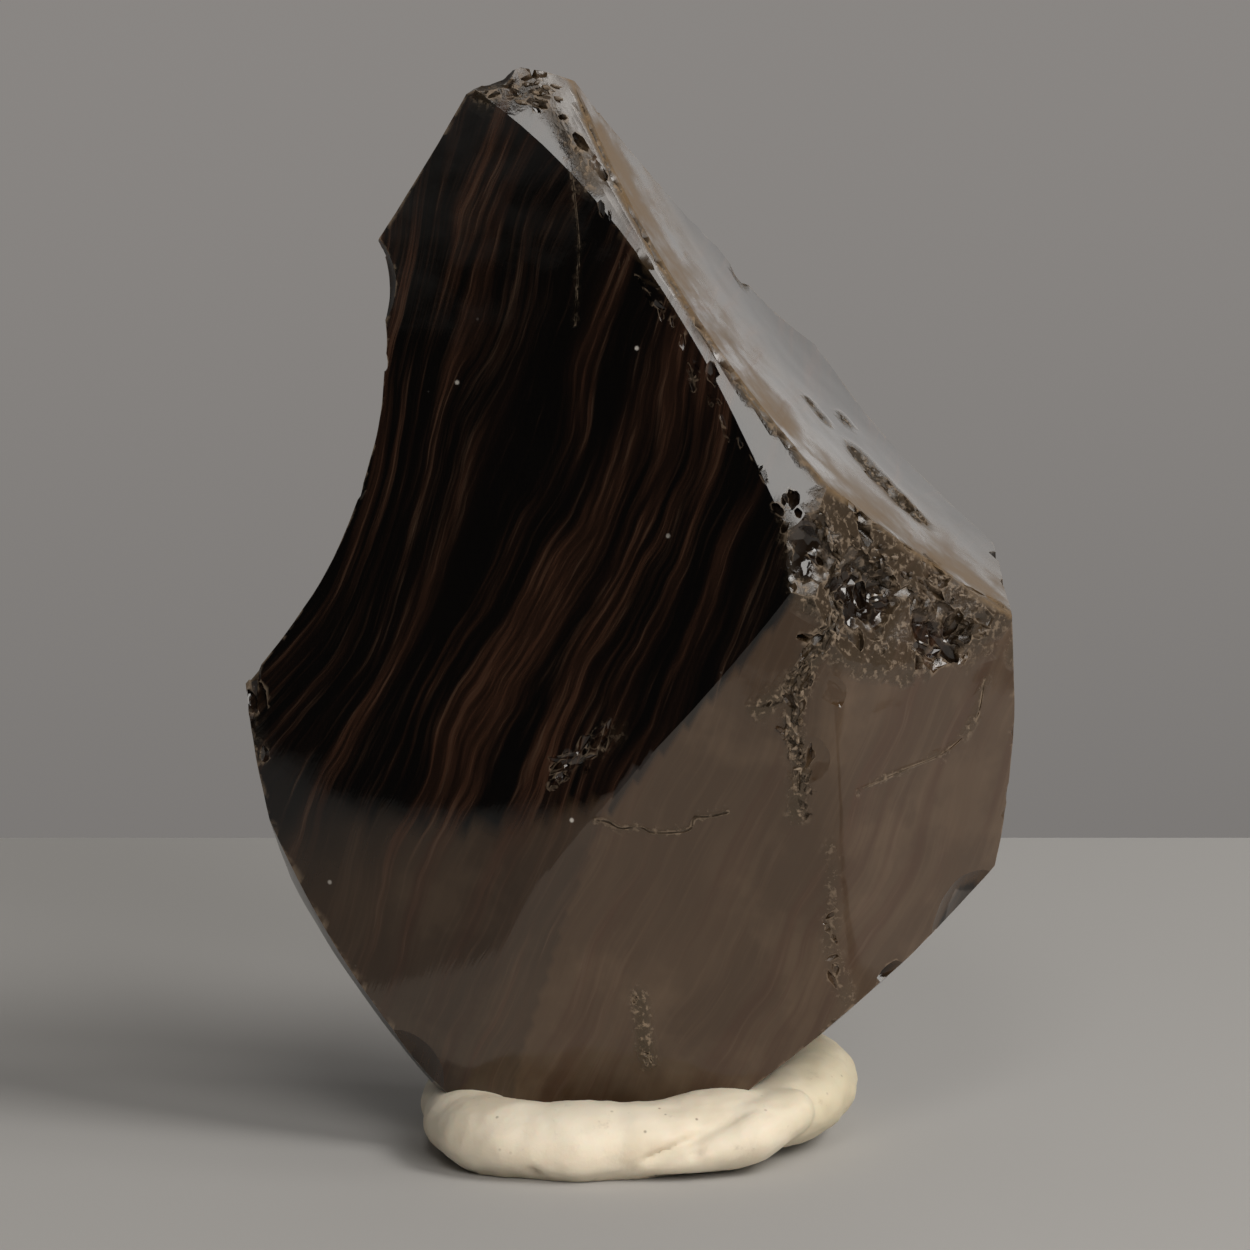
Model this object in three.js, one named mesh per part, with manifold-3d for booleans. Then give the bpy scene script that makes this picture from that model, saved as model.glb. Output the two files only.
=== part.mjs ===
// An upright chunk of obsidian, pressed into a hand-rolled ring of white putty.
// Millimetres, +Z up, +X to the right of the broad front face, +Y towards the back.
import * as THREE from "three";
import { mergeVertices } from "three/addons/utils/BufferGeometryUtils.js";
import Module from "manifold-3d";

const wasm = await Module();
wasm.setup();

// ---- Driving dimensions -------------------------------------------------------------------

// The rough block that the chunk is broken from.
const BLANK = { width: 110, depth: 80, height: 140 };
// A breaking cut is a block this wide and thick. Its inner face is the new surface.
const CUT = { width: 240, thickness: 90, cells: 40, detail: 4 };
const GAP = 0.35; // air left between the glass and the putty

// The putty is rolled by hand: squash is a roll's height over its width, steps and sides how finely
// its skin is cut, detail that of its rounded ends.
const PUTTY = { squash: 0.74, sides: 14, steps: 24, detail: 2 };

// The rolls, each along the points of its middle line.
const ROLLS = [
  {
    radius: 5.9,
    line: [
      [11, -13.5, 4.5],
      [4, -17, 4],
      [-4, -18.1, 3.8],
      [-10.5, -17.9, 3.8],
      [-16.2, -14.8, 3.8],
      [-18.5, -8, 3.9],
      [-18.8, 0, 4],
      [-16.4, 8, 4.2],
      [-11, 14.6, 4.5],
      [-3, 17.8, 4.8],
    ],
  },
  {
    radius: 6,
    line: [
      [-3, 17.8, 4.8],
      [6.5, 18, 5.2],
      [14.5, 14.8, 5.8],
      [20, 8.5, 6.3],
      [20.7, 0.5, 6.2],
      [17.4, -7.5, 5.4],
      [11, -13.5, 4.5],
    ],
  },
  {
    radius: 4.9,
    line: [
      [3, -19.2, 2.4],
      [8.5, -17.6, 3.2],
      [13.5, -14.2, 4],
      [17, -10.5, 4.6],
    ],
  },
];

// Where the faces of the chunk meet, named from the front.
const CORNER = {
  tipFront: [-9.3, -8, 121.5],
  leftTip: [-44.5, -4, 55],
  shoulder: [20.5, -26, 78],
  leftTipLow: [-43, -5, 45.5],
  scarEnd: [-7, -19, 48],
  footEdge: [-18.2, -11.4, 12],
  scarTop: [18, -26, 72],
  rightFoot: [11, -14, 8],
  keelTop: [22, -25.8, 62.5],
  keelLow: [24.5, -17.2, 19],
  rightEdge: [43.5, -8.3, 58.6],
  ridgeLow: [18.6, -24.9, 77.7],
  rightHorn: [42.3, -10, 63.2],
  browLow: [26.2, -21.8, 60.3],
  crestTip: [-6.6, -6, 121.3],
  brow: [23, -23, 77.5],
  ridgeTop: [-2.9, -10.6, 108.1],
  ridgeRight: [7.7, -14.2, 95.5],
  tipPeak: [-12.4, -3, 124.5],
  tipRight: [-7.2, -3, 123.2],
  tipBack: [-12, 4, 124],
  tipLeft: [-17.6, -4, 122.4],
  leftNotch: [-28.9, -2.3, 104.5],
  leftShoulder: [-25, 8, 104],
  backShoulder: [-16, 24, 70],
  leftBack: [-40.5, 9, 38],
  heelEdge: [-43.9, -5, 45.5],
  leftFoot: [-22.9, -9.7, 9.6],
  leftHeel: [-41, 6, 31],
  heelFront: [-23.4, -6, 8],
  heelTop: [-42, 3, 35],
  heelBack: [-17, 16, 8],
  baseFront: [-16, -12, 4.2],
  baseRight: [10, -13, 3.8],
  baseBack: [4, 14, 3.6],
  rightLow: [42, -4.8, 33],
  underFront: [25.4, -15.6, 19],
  underBack: [30, 14, 17],
  rightBack: [43.2, 10, 62],
  crestHigh: [-3.5, 1.9, 118.7],
  crestBack: [20.1, 23.4, 92.4],
  crestEnd: [41, 14.5, 68.6],
  backHump: [-10, 27, 60],
  backLowRight: [23, 18, 25],
  backLowLeft: [-13, 18, 18],
  leftRear: [-39.5, 8, 46],
};

// A point well inside the glass: every face turns away from it.
const HEART = [0, 0, 55];

// The broken faces. Each passes through three corners. bend is the radius of the face along its
// first edge and across it: positive bulges, negative is hollow.
const FACES = [
  { name: "front", at: ["tipFront", "leftTip", "shoulder"], bend: [-260, -120] },
  { name: "frontFoot", at: ["leftTipLow", "scarEnd", "footEdge"], bend: [600, 600] },
  { name: "lowerFront", at: ["scarTop", "footEdge", "rightFoot"], bend: [1500, 400] },
  { name: "lowerRight", at: ["keelTop", "keelLow", "rightEdge"], bend: [900, 400] },
  { name: "underBrow", at: ["ridgeLow", "rightHorn", "browLow"], bend: [-90, -70] },
  { name: "crest", at: ["crestTip", "brow", "rightHorn"], bend: [-150, -250] },
  { name: "ridge", at: ["ridgeTop", "ridgeLow", "ridgeRight"], bend: [-200, 60] },
  { name: "tip", at: ["tipPeak", "tipRight", "tipBack"], bend: [60, 60] },
  { name: "tipSlope", at: ["tipLeft", "tipPeak", "tipBack"], bend: [60, 60] },
  { name: "upperLeft", at: ["tipLeft", "leftNotch", "leftShoulder"], bend: [-300, 200] },
  { name: "leftScoop", at: ["leftNotch", "leftTip", "backShoulder"], bend: [-65, -120] },
  { name: "leftEnd", at: ["leftTip", "leftTipLow", "leftBack"], bend: [300, 200] },
  { name: "lowerLeft", at: ["heelEdge", "leftFoot", "leftHeel"], bend: [110, 140] },
  { name: "heel", at: ["heelFront", "heelTop", "heelBack"], bend: [200, 200] },
  { name: "base", at: ["baseFront", "baseRight", "baseBack"], bend: [200, 200] },
  { name: "underRight", at: ["rightLow", "underFront", "underBack"], bend: [180, 300] },
  { name: "rightEnd", at: ["rightEdge", "rightLow", "rightBack"], bend: [120, 300] },
  { name: "backTop", at: ["crestHigh", "crestBack", "leftShoulder"], bend: [300, 300] },
  { name: "backRight", at: ["crestBack", "crestEnd", "backHump"], bend: [-160, -160] },
  { name: "backLow", at: ["backHump", "backLowRight", "backLowLeft"], bend: [150, -150] },
  { name: "backLeft", at: ["backHump", "leftRear", "backLowLeft"], bend: [-200, -200] },
];

// Small flakes struck from the edges: a ball of this radius, sunk by depth at a point and coming
// from a direction.
const CHIPS = [
  { at: [26.6, -19.7, 65.9], from: [0.5, -0.8, 0.35], radius: 7, depth: 1.7 },
  { at: [34.7, -15, 61.5], from: [0.5, -0.8, 0.1], radius: 6, depth: 1.4 },
  { at: [20.3, -24.2, 71.5], from: [0.3, -0.9, 0.2], radius: 9, depth: 1.4 },
  { at: [22.6, -24.5, 54.8], from: [0.2, -1, 0.1], radius: 7, depth: 0.8 },
  { at: [19.6, -22.6, 45], from: [-0.1, -1, 0.2], radius: 9, depth: 0.5 },
  { at: [27.6, 3.3, 78.1], from: [0.6, -0.3, 0.8], radius: 5, depth: 0.7 },
  { at: [31, 2.8, 74.8], from: [0.7, -0.3, 0.7], radius: 5, depth: 0.8 },
  { at: [13.4, 17.8, 99.3], from: [0.8, 0.1, 0.5], radius: 5, depth: 0.6 },
  { at: [-28.2, -2.4, 100.5], from: [-1, -0.6, -0.1], radius: 9, depth: 1.1 },
  { at: [-24.4, -9, 10.6], from: [-0.6, -0.8, -0.3], radius: 12, depth: 1.1 },
  { at: [-44, -4.6, 50.6], from: [-1, -0.3, 0.2], radius: 3, depth: 0.7 },
  { at: [-43.4, -5, 45.6], from: [-1, -0.2, -0.4], radius: 3.5, depth: 0.6 },
  { at: [-3.5, -10.5, 114.6], from: [0.2, -0.8, 0.6], radius: 10, depth: 1.5 },
  { at: [1.6, -12.6, 101.6], from: [0.1, -0.8, 0.6], radius: 8, depth: 0.8 },
  { at: [11.6, -19.4, 86.2], from: [0, -0.9, 0.5], radius: 9, depth: 0.8 },
  { at: [-5.5, -19.4, 48], from: [0.1, -1, 0.2], radius: 9, depth: 0.5 },
  { at: [40, -8, 31], from: [0.6, -0.7, -0.5], radius: 14, depth: 1.5 },
  { at: [-10, -6, 123.6], from: [0.2, -0.6, 0.8], radius: 5, depth: 1 },
  { at: [-15.5, -4, 123], from: [-0.3, -0.6, 0.8], radius: 4, depth: 0.7 },
  { at: [5, 21, 84], from: [-0.1, 0.9, 0.5], radius: 40, depth: 1.6 },
  { at: [-24, 14, 84], from: [-0.6, 0.7, 0.3], radius: 30, depth: 1.8 },
  { at: [30, 18, 50], from: [0.6, 0.8, 0.1], radius: 34, depth: 2 },
  { at: [2, 24, 38], from: [0, 1, -0.3], radius: 30, depth: 1.6 },
  { at: [-33, 9, 34], from: [-0.7, 0.6, -0.4], radius: 18, depth: 1.5 },
];

// ---- Shaping ------------------------------------------------------------------------------

const corner = (name) => new THREE.Vector3(...CORNER[name]);

// A three.js geometry as a manifold-3d solid.
function solidOf(geometry) {
  const bare = geometry.clone();
  bare.deleteAttribute("normal");
  bare.deleteAttribute("uv");
  const merged = mergeVertices(bare, 1e-4);
  return new wasm.Manifold(
    new wasm.Mesh({
      numProp: 3,
      vertProperties: merged.attributes.position.array,
      triVerts: new Uint32Array(merged.index.array),
    }),
  );
}

// A manifold-3d solid as a named three.js mesh.
function meshOf(name, solid, material) {
  const { vertProperties, triVerts } = solid.getMesh();
  const geometry = new THREE.BufferGeometry();
  geometry.setAttribute("position", new THREE.BufferAttribute(vertProperties, 3));
  geometry.setIndex(new THREE.BufferAttribute(triVerts, 1));
  const mesh = new THREE.Mesh(geometry.toNonIndexed(), material);
  mesh.geometry.computeVertexNormals();
  mesh.name = name;
  return mesh;
}

// The frame of a face: x along its first edge, z outwards, the origin in the middle of its corners.
function frameOf(face) {
  const [a, b, c] = face.at.map(corner);
  const x = b.clone().sub(a).normalize();
  const z = x.clone().cross(c.clone().sub(a)).normalize();
  if (z.dot(a.clone().sub(new THREE.Vector3(...HEART))) < 0) z.negate();
  const y = z.clone().cross(x);
  const middle = a.clone().add(b).add(c).divideScalar(3);
  return new THREE.Matrix4().makeBasis(x, y, z).setPosition(middle);
}

// The height of a bent face over its own plane, which it meets at its three corners.
function bowl(face, frame) {
  const [along, across] = face.bend;
  const curve = (x, y) => -(x * x) / (2 * along) - (y * y) / (2 * across);
  const back = frame.clone().invert();
  const [a, b, c] = face.at.map((name) => corner(name).applyMatrix4(back));
  // The plane through the curve's heights at the corners: z = p x + q y + r.
  const rows = new THREE.Matrix3().set(a.x, a.y, 1, b.x, b.y, 1, c.x, c.y, 1).invert();
  const level = new THREE.Vector3(curve(a.x, a.y), curve(b.x, b.y), curve(c.x, c.y)).applyMatrix3(rows);
  const most = CUT.thickness / 2;
  return (x, y) => Math.min(curve(x, y) - (level.x * x + level.y * y + level.z), most);
}

// The block whose removal leaves the face: it lies outside it, and its inner side has the face's shape.
function cutFor(face) {
  const frame = frameOf(face);
  const height = bowl(face, frame);
  const block = new THREE.BoxGeometry(CUT.width, CUT.width, CUT.thickness, CUT.cells, CUT.cells, 1);
  block.translate(0, 0, CUT.thickness / 2);
  const point = block.attributes.position;
  for (let i = 0; i < point.count; i++) {
    if (point.getZ(i) < CUT.thickness / 2) point.setZ(i, height(point.getX(i), point.getY(i)));
  }
  return solidOf(block.applyMatrix4(frame));
}

// The ball whose removal leaves the scar of a small flake.
function ballFor(chip) {
  const away = new THREE.Vector3(...chip.from).setLength(chip.radius - chip.depth);
  const ball = new THREE.IcosahedronGeometry(chip.radius, CUT.detail);
  return solidOf(ball.translate(chip.at[0] + away.x, chip.at[1] + away.y, chip.at[2] + away.z));
}

// ---- The pieces ---------------------------------------------------------------------------

function obsidian() {
  const blank = new THREE.BoxGeometry(BLANK.width, BLANK.depth, BLANK.height);
  blank.translate(0, 0, BLANK.height / 2);
  const cuts = [...FACES.map(cutFor), ...CHIPS.map(ballFor)];
  return cuts.reduce((rock, cut) => rock.subtract(cut), solidOf(blank));
}

// A hand-rolled length of putty with rounded ends, squashed flatter than it is wide.
function roll({ line, radius }) {
  const { squash, sides, steps } = PUTTY;
  const points = line.map(([x, y, z]) => new THREE.Vector3(x, y, z / squash));
  const path = new THREE.CatmullRomCurve3(points);
  const turn = (i) => (2 * Math.PI * i) / sides;
  const rim = Array.from({ length: sides }, (_, i) => new THREE.Vector2(Math.cos(turn(i)), Math.sin(turn(i))));
  const section = new THREE.Shape(rim.map((point) => point.multiplyScalar(radius)));
  const length = new THREE.ExtrudeGeometry(section, { steps, extrudePath: path, bevelEnabled: false });
  const ends = [points[0], points[points.length - 1]].map((end) =>
    new THREE.IcosahedronGeometry(radius, PUTTY.detail).translate(end.x, end.y, end.z),
  );
  return [length, ...ends].map((part) => solidOf(part.scale(1, 1, squash))).reduce((sum, part) => sum.add(part));
}

// The ring of putty: its rolls pressed together, flat underneath, with the chunk's foot pressed in.
function putty(rock) {
  const floor = new THREE.BoxGeometry(BLANK.width, BLANK.width, BLANK.height);
  floor.translate(0, 0, -BLANK.height / 2);
  const ring = ROLLS.map(roll).reduce((sum, part) => sum.add(part)).subtract(solidOf(floor));
  const shifts = [[GAP, 0, 0], [-GAP, 0, 0], [0, GAP, 0], [0, -GAP, 0], [0, 0, GAP], [0, 0, -GAP]];
  return shifts.reduce((left, shift) => left.subtract(rock.translate(shift)), ring);
}

const glass = new THREE.MeshStandardMaterial({ color: 0x120c09, roughness: 0.1, metalness: 0 });
const clay = new THREE.MeshStandardMaterial({ color: 0xe6dcc3, roughness: 0.7, metalness: 0 });
const rock = obsidian();
const group = new THREE.Group();
group.add(meshOf("obsidian_chunk", rock, glass), meshOf("putty_ring", putty(rock), clay));

// The origin goes under the middle of the whole object.
const middle = new THREE.Box3().setFromObject(group).getCenter(new THREE.Vector3());
group.children.forEach((mesh) => mesh.geometry.translate(-middle.x, -middle.y, 0));
export default group;
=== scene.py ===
"""An upright chunk of banded obsidian, pressed into a hand-rolled ring of white putty.

Lengths in this file are millimetres, measured from the workbench origin of the chunk, and each finished
piece is brought into the frame's metres at the end. +Z is up, +X to the right of the broad dark face and
+Y towards the back.
"""

import logging
import math
import random
from dataclasses import dataclass, field
from enum import Enum

import bmesh
import bpy
import numpy as np
from mathutils import Matrix, Vector, noise
from mathutils.bvhtree import BVHTree


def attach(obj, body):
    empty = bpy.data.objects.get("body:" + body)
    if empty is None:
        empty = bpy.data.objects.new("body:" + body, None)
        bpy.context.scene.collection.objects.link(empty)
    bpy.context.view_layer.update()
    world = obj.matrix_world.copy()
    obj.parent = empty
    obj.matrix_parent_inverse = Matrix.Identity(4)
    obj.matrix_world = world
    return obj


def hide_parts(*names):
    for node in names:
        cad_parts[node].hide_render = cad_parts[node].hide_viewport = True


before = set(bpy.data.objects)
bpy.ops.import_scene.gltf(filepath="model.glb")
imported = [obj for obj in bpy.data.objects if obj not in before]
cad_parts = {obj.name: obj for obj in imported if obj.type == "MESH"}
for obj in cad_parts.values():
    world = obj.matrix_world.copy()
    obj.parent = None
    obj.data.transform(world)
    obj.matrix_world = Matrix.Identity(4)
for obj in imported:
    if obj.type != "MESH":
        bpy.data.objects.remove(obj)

LOG = logging.getLogger("obsidian")
MM = 0.001
BENCH_TO_FRAME = Vector((0.409, -2.035, 0.0))  # from the workbench origin to the frame's, in mm
ROOT = "root"

Triple = tuple[float, float, float]
Room = tuple[Vector, float]  # a ball: its middle and radius


# ---- Shader plumbing ------------------------------------------------------------------------------


class Wire:
    """A socket's value, with the arithmetic that adds Math nodes."""

    def __init__(self, bench: "NodeBench", socket: bpy.types.NodeSocket | None) -> None:
        """Keep the node bench and the output socket."""
        self.bench = bench
        self.socket = socket

    def _math(self, operation: str, *values: "Wire | float") -> "Wire":
        """Add one Math node.

        Args:
            operation: The Math node's operation.
            values: The values of its sockets, in order.

        Returns:
            The node's result.
        """
        return self.bench.add("ShaderNodeMath", {"operation": operation}, dict(enumerate(values)))

    def __add__(self, other: "Wire | float") -> "Wire":
        """Add."""
        return self._math("ADD", self, other)

    def __radd__(self, other: float) -> "Wire":
        """Add to a number."""
        return self._math("ADD", other, self)

    def __sub__(self, other: "Wire | float") -> "Wire":
        """Subtract."""
        return self._math("SUBTRACT", self, other)

    def __rsub__(self, other: float) -> "Wire":
        """Subtract from a number."""
        return self._math("SUBTRACT", other, self)

    def __mul__(self, other: "Wire | float") -> "Wire":
        """Multiply."""
        return self._math("MULTIPLY", self, other)

    def __rmul__(self, other: float) -> "Wire":
        """Multiply a number."""
        return self._math("MULTIPLY", other, self)

    def most(self, other: "Wire | float") -> "Wire":
        """Take the larger value."""
        return self._math("MAXIMUM", self, other)

    def rise(self, low: float, high: float) -> "Wire":
        """Ramp smoothly from 0 at low to 1 at high."""
        inputs = {"Value": self, "From Min": low, "From Max": high}
        return self.bench.add("ShaderNodeMapRange", {"interpolation_type": "SMOOTHSTEP"}, inputs)


class NodeBench:
    """Builds the node tree of one material or of the world."""

    def __init__(self, owner: bpy.types.Material | bpy.types.World) -> None:
        """Start with an empty tree.

        Args:
            owner: The material or world that the tree belongs to.
        """
        self.owner = owner
        owner.use_nodes = True
        self.tree = owner.node_tree
        self.tree.nodes.clear()

    @classmethod
    def material(cls, name: str) -> "NodeBench":
        """Start a material of this name."""
        return cls(bpy.data.materials.new(name))

    def add(
        self,
        kind: str,
        settings: dict[str, object] | None = None,
        inputs: dict[str | int, object] | None = None,
        output: str | int = 0,
    ) -> Wire:
        """Add a node.

        Args:
            kind: The node's type.
            settings: Properties to set first.
            inputs: Values or links of its sockets, by name or number.
            output: The output to return.

        Returns:
            The chosen output.
        """
        node = self.tree.nodes.new(kind)
        for key, value in (settings or {}).items():
            setattr(node, key, value)
        for key, value in (inputs or {}).items():
            if isinstance(value, Wire):
                self.tree.links.new(value.socket, node.inputs[key])
            else:
                node.inputs[key].default_value = value
        return Wire(self, node.outputs[output] if len(node.outputs) else None)

    def blend(self, factor: Wire | float, under: object, over: object) -> Wire:
        """Mix two colours.

        Args:
            factor: How much of the upper colour shows.
            under: The colour at 0.
            over: The colour at 1.

        Returns:
            The mixed colour.
        """
        under, over = ((*c, 1.0) if isinstance(c, tuple) else c for c in (under, over))
        inputs = {0: factor, 6: under, 7: over}
        return self.add("ShaderNodeMix", {"data_type": "RGBA"}, inputs, output=2)

    def place(self) -> Wire:
        """Give the surface point in millimetres.

        Returns:
            The point.
        """
        point = self.add("ShaderNodeTexCoord", output="Object")
        scale = {0: point, "Scale": 1.0 / MM}
        return self.add("ShaderNodeVectorMath", {"operation": "SCALE"}, scale)

    def along(self, point: Wire, direction: Triple) -> Wire:
        """Measure a point along a direction."""
        settings = {"operation": "DOT_PRODUCT"}
        return self.add("ShaderNodeVectorMath", settings, {0: point, 1: direction}, output="Value")

    def grain(self, point: Wire, scale: float, detail: float = 2.0, rough: float = 0.5) -> Wire:
        """Give fractal noise.

        Args:
            point: Where it is read.
            scale: Features for each unit of the point.
            detail: Octaves.
            rough: How strong the fine octaves are.

        Returns:
            A value about 0.5.
        """
        inputs = {"Vector": point, "Scale": scale, "Detail": detail, "Roughness": rough}
        return self.add("ShaderNodeTexNoise", None, inputs)

    def cells(self, point: Wire, scale: float) -> Wire:
        """Give the distance to the nearest of scattered seeds."""
        return self.add("ShaderNodeTexVoronoi", None, {"Vector": point, "Scale": scale})

    def mark(self, name: str) -> Wire:
        """Read a mask stored on the mesh."""
        return self.add("ShaderNodeAttribute", {"attribute_name": name}, output="Fac")

    def bump(self, height: Wire, strength: float, depth: float) -> Wire:
        """Turn a height into a normal."""
        inputs = {"Height": height, "Strength": strength, "Distance": depth}
        return self.add("ShaderNodeBump", None, inputs, output="Normal")

    def finish(self, inputs: dict[str | int, object]) -> bpy.types.Material:
        """Close the tree with a Principled shader.

        Args:
            inputs: The shader's values and links.

        Returns:
            The material.
        """
        shader = self.add("ShaderNodeBsdfPrincipled", None, inputs)
        self.add("ShaderNodeOutputMaterial", None, {"Surface": shader})
        return self.owner


# ---- Finishes -------------------------------------------------------------------------------------


class Mark(str, Enum):
    """A mask stored on the chunk's mesh."""

    CRUSHED = "crushed"
    TAN = "tan_edge"
    MILK_SHEEN = "clouded"
    # painted highlight along sharp outward edges
    EDGE_HIGHLIGHT = "worn_edge"


@dataclass(frozen=True)
class ObsidianFinish:
    """Near-black volcanic glass with brown flow bands, milky, crushed and stained in places, with painted
    sheen on its lower faces, painted edge highlights and painted glints.
    """

    lean: float = 0.42  # how far the bands lean to the right for each unit of height
    slant: float = 0.12  # and for each unit of depth
    left_edge: tuple[float, float] = (-47.0, -18.0)  # left of here they bend to follow the edge
    left_rise: tuple[float, float] = (44.0, 82.0)  # over these heights
    hug: float = 30.0  # by this much
    drift: float = 14.0  # how far the bands stray, slowly
    waver: float = 3.2  # and finely
    grooves: float = 0.00009  # how deep the surface's relief is, in metres
    black: Triple = (0.0012, 0.0008, 0.0006)
    brown: Triple = (0.036, 0.0155, 0.0085)
    straw: Triple = (0.085, 0.055, 0.036)
    # painted sheen: these two browns also lighten the lower faces, standing in for the sheen they reflect
    clouded: Triple = (0.052, 0.0285, 0.0135)
    bright_milk_sheen: Triple = (0.104, 0.066, 0.038)
    rust: Triple = (0.046, 0.019, 0.0075)
    dust: Triple = (0.04, 0.027, 0.0125)
    # the pale of crushed glass, also used as the painted highlight on outward edges
    crumb_and_highlight: Triple = (0.3, 0.225, 0.155)
    tan: Triple = (0.15, 0.095, 0.045)
    # painted glints: the colour of the tiny white dots strewn over the glass
    white: Triple = (0.6, 0.57, 0.52)
    roughness: float = 0.075
    index: float = 1.5

    def flow(self, n: NodeBench, point: Wire) -> tuple[Wire, Wire, Wire]:
        """Lay out the sheets of the flow.

        Args:
            n: The node bench.
            point: The surface point.

        Returns:
            The places across the sheets, down the flow, and through the chunk.
        """
        x = n.along(point, (1.0, 0.0, 0.0))
        y = n.along(point, (0.0, 1.0, 0.0))
        z = n.along(point, (0.0, 0.0, 1.0))
        hug = (1.0 - x.rise(*self.left_edge)) * z.rise(*self.left_rise) * self.hug
        sway = n.grain(point, 0.018, 2.0) * self.drift + n.grain(point, 0.075, 2.0) * self.waver
        return x - z * self.lean - y * self.slant - hug + sway, z * 0.92 + x * 0.39, y

    def build(self) -> bpy.types.Material:
        """Build the material.

        Returns:
            The material.
        """
        n = NodeBench.material("obsidian_glass")
        point = n.place()
        across, down, through = self.flow(n, point)

        def sheets(thin: float, long: float) -> Wire:
            """Give a point that is stretched along the flow."""
            stretched = {0: across * thin, 1: down * long, 2: through * long * 1.5}
            return n.add("ShaderNodeCombineXYZ", None, stretched)

        broad = n.grain(sheets(0.07, 0.008), 1.0, 2.0, 0.5)
        bands = n.grain(sheets(0.3, 0.018), 1.0, 3.0, 0.6)
        threads = n.grain(sheets(1.1, 0.045), 1.0, 3.0, 0.65)
        hairs = n.grain(sheets(3.4, 0.11), 1.0, 2.0, 0.6)
        streaks = bands.rise(0.44, 0.68) * (0.2 + threads.rise(0.38, 0.68) * 0.8)
        streaks = streaks * (0.2 + broad.rise(0.4, 0.6) * 0.95) + threads.rise(0.5, 0.72) * 0.16
        fine = threads.rise(0.52, 0.7) * hairs.rise(0.42, 0.64) * (0.15 + bands.rise(0.42, 0.62))
        colour = n.blend(streaks, self.black, self.brown)
        colour = n.blend(fine * 0.42, colour, self.straw)

        # painted sheen: the lower faces and the dark face's foot take a lighter milky brown with brighter
        # patches, standing in for the sheen they reflect; the faint milk elsewhere is the glass's own
        milk_sheen_mask = n.mark(Mark.MILK_SHEEN)
        patches = n.grain(sheets(0.09, 0.03), 1.0, 3.0, 0.55)
        sheen_patches = n.grain(point, 0.085, 4.0, 0.6).rise(0.48, 0.66)
        milk_sheen_colour = patches.rise(0.42, 0.64) * 0.4 + sheen_patches * 0.45 + threads.rise(0.45, 0.7) * 0.2
        milk_sheen_colour = n.blend(milk_sheen_colour, self.clouded, self.bright_milk_sheen)
        milk_sheen_colour = n.blend(bands.rise(0.5, 0.7) * 0.65, milk_sheen_colour, self.rust)
        milk_sheen_colour = n.blend(fine * 0.4, milk_sheen_colour, self.straw)
        colour = n.blend(milk_sheen_mask * 0.85, colour, milk_sheen_colour)

        crumbs = n.grain(point, 1.3, 3.0, 0.65)
        crushed = n.mark(Mark.CRUSHED)
        lit_edge = n.mark(Mark.EDGE_HIGHLIGHT)
        pale = crushed * crumbs.rise(0.52, 0.66) * 0.75
        patchy = n.grain(point, 0.7, 3.0).rise(0.36, 0.6)
        # painted highlight: sharp outward edges are painted pale in patches, standing in for the light they
        # catch; the crushed-glass paleness above is the glass's own
        pale = pale.most(lit_edge.rise(0.55, 1.0) * (0.35 + crushed * 0.3) * patchy)
        colour = n.blend(crushed * 0.75, colour, self.dust)
        colour = n.blend(pale, colour, self.crumb_and_highlight)
        tan = n.mark(Mark.TAN) * n.grain(point, 0.14, 4.0, 0.6).rise(0.22, 0.66)
        colour = n.blend(tan * 0.9, colour, self.tan)
        # painted glints: tiny white dots painted into the colour as pinpoint reflections; they also roughen
        # and dent the surface
        specks = (1.0 - n.cells(point, 0.14).rise(0.02, 0.05)) * n.grain(point, 0.05).rise(0.5, 0.62)
        colour = n.blend(specks * 0.8, colour, self.white)

        gloss = self.roughness + streaks * 0.06 + pale * 0.45 + crushed * 0.4 + tan * 0.5 + specks * 0.3
        gloss = gloss + n.grain(point, 0.12, 3.0).rise(0.5, 0.75) * 0.07
        height = threads * 0.3 + hairs * 0.12 + n.grain(point, 0.5, 3.0) * 0.3
        height = height + crushed * crumbs * 5.0 - specks * 0.5
        normal = n.bump(height, 0.35, self.grooves)
        return n.finish({"Base Color": colour, "Roughness": gloss, "IOR": self.index, "Normal": normal})


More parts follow.
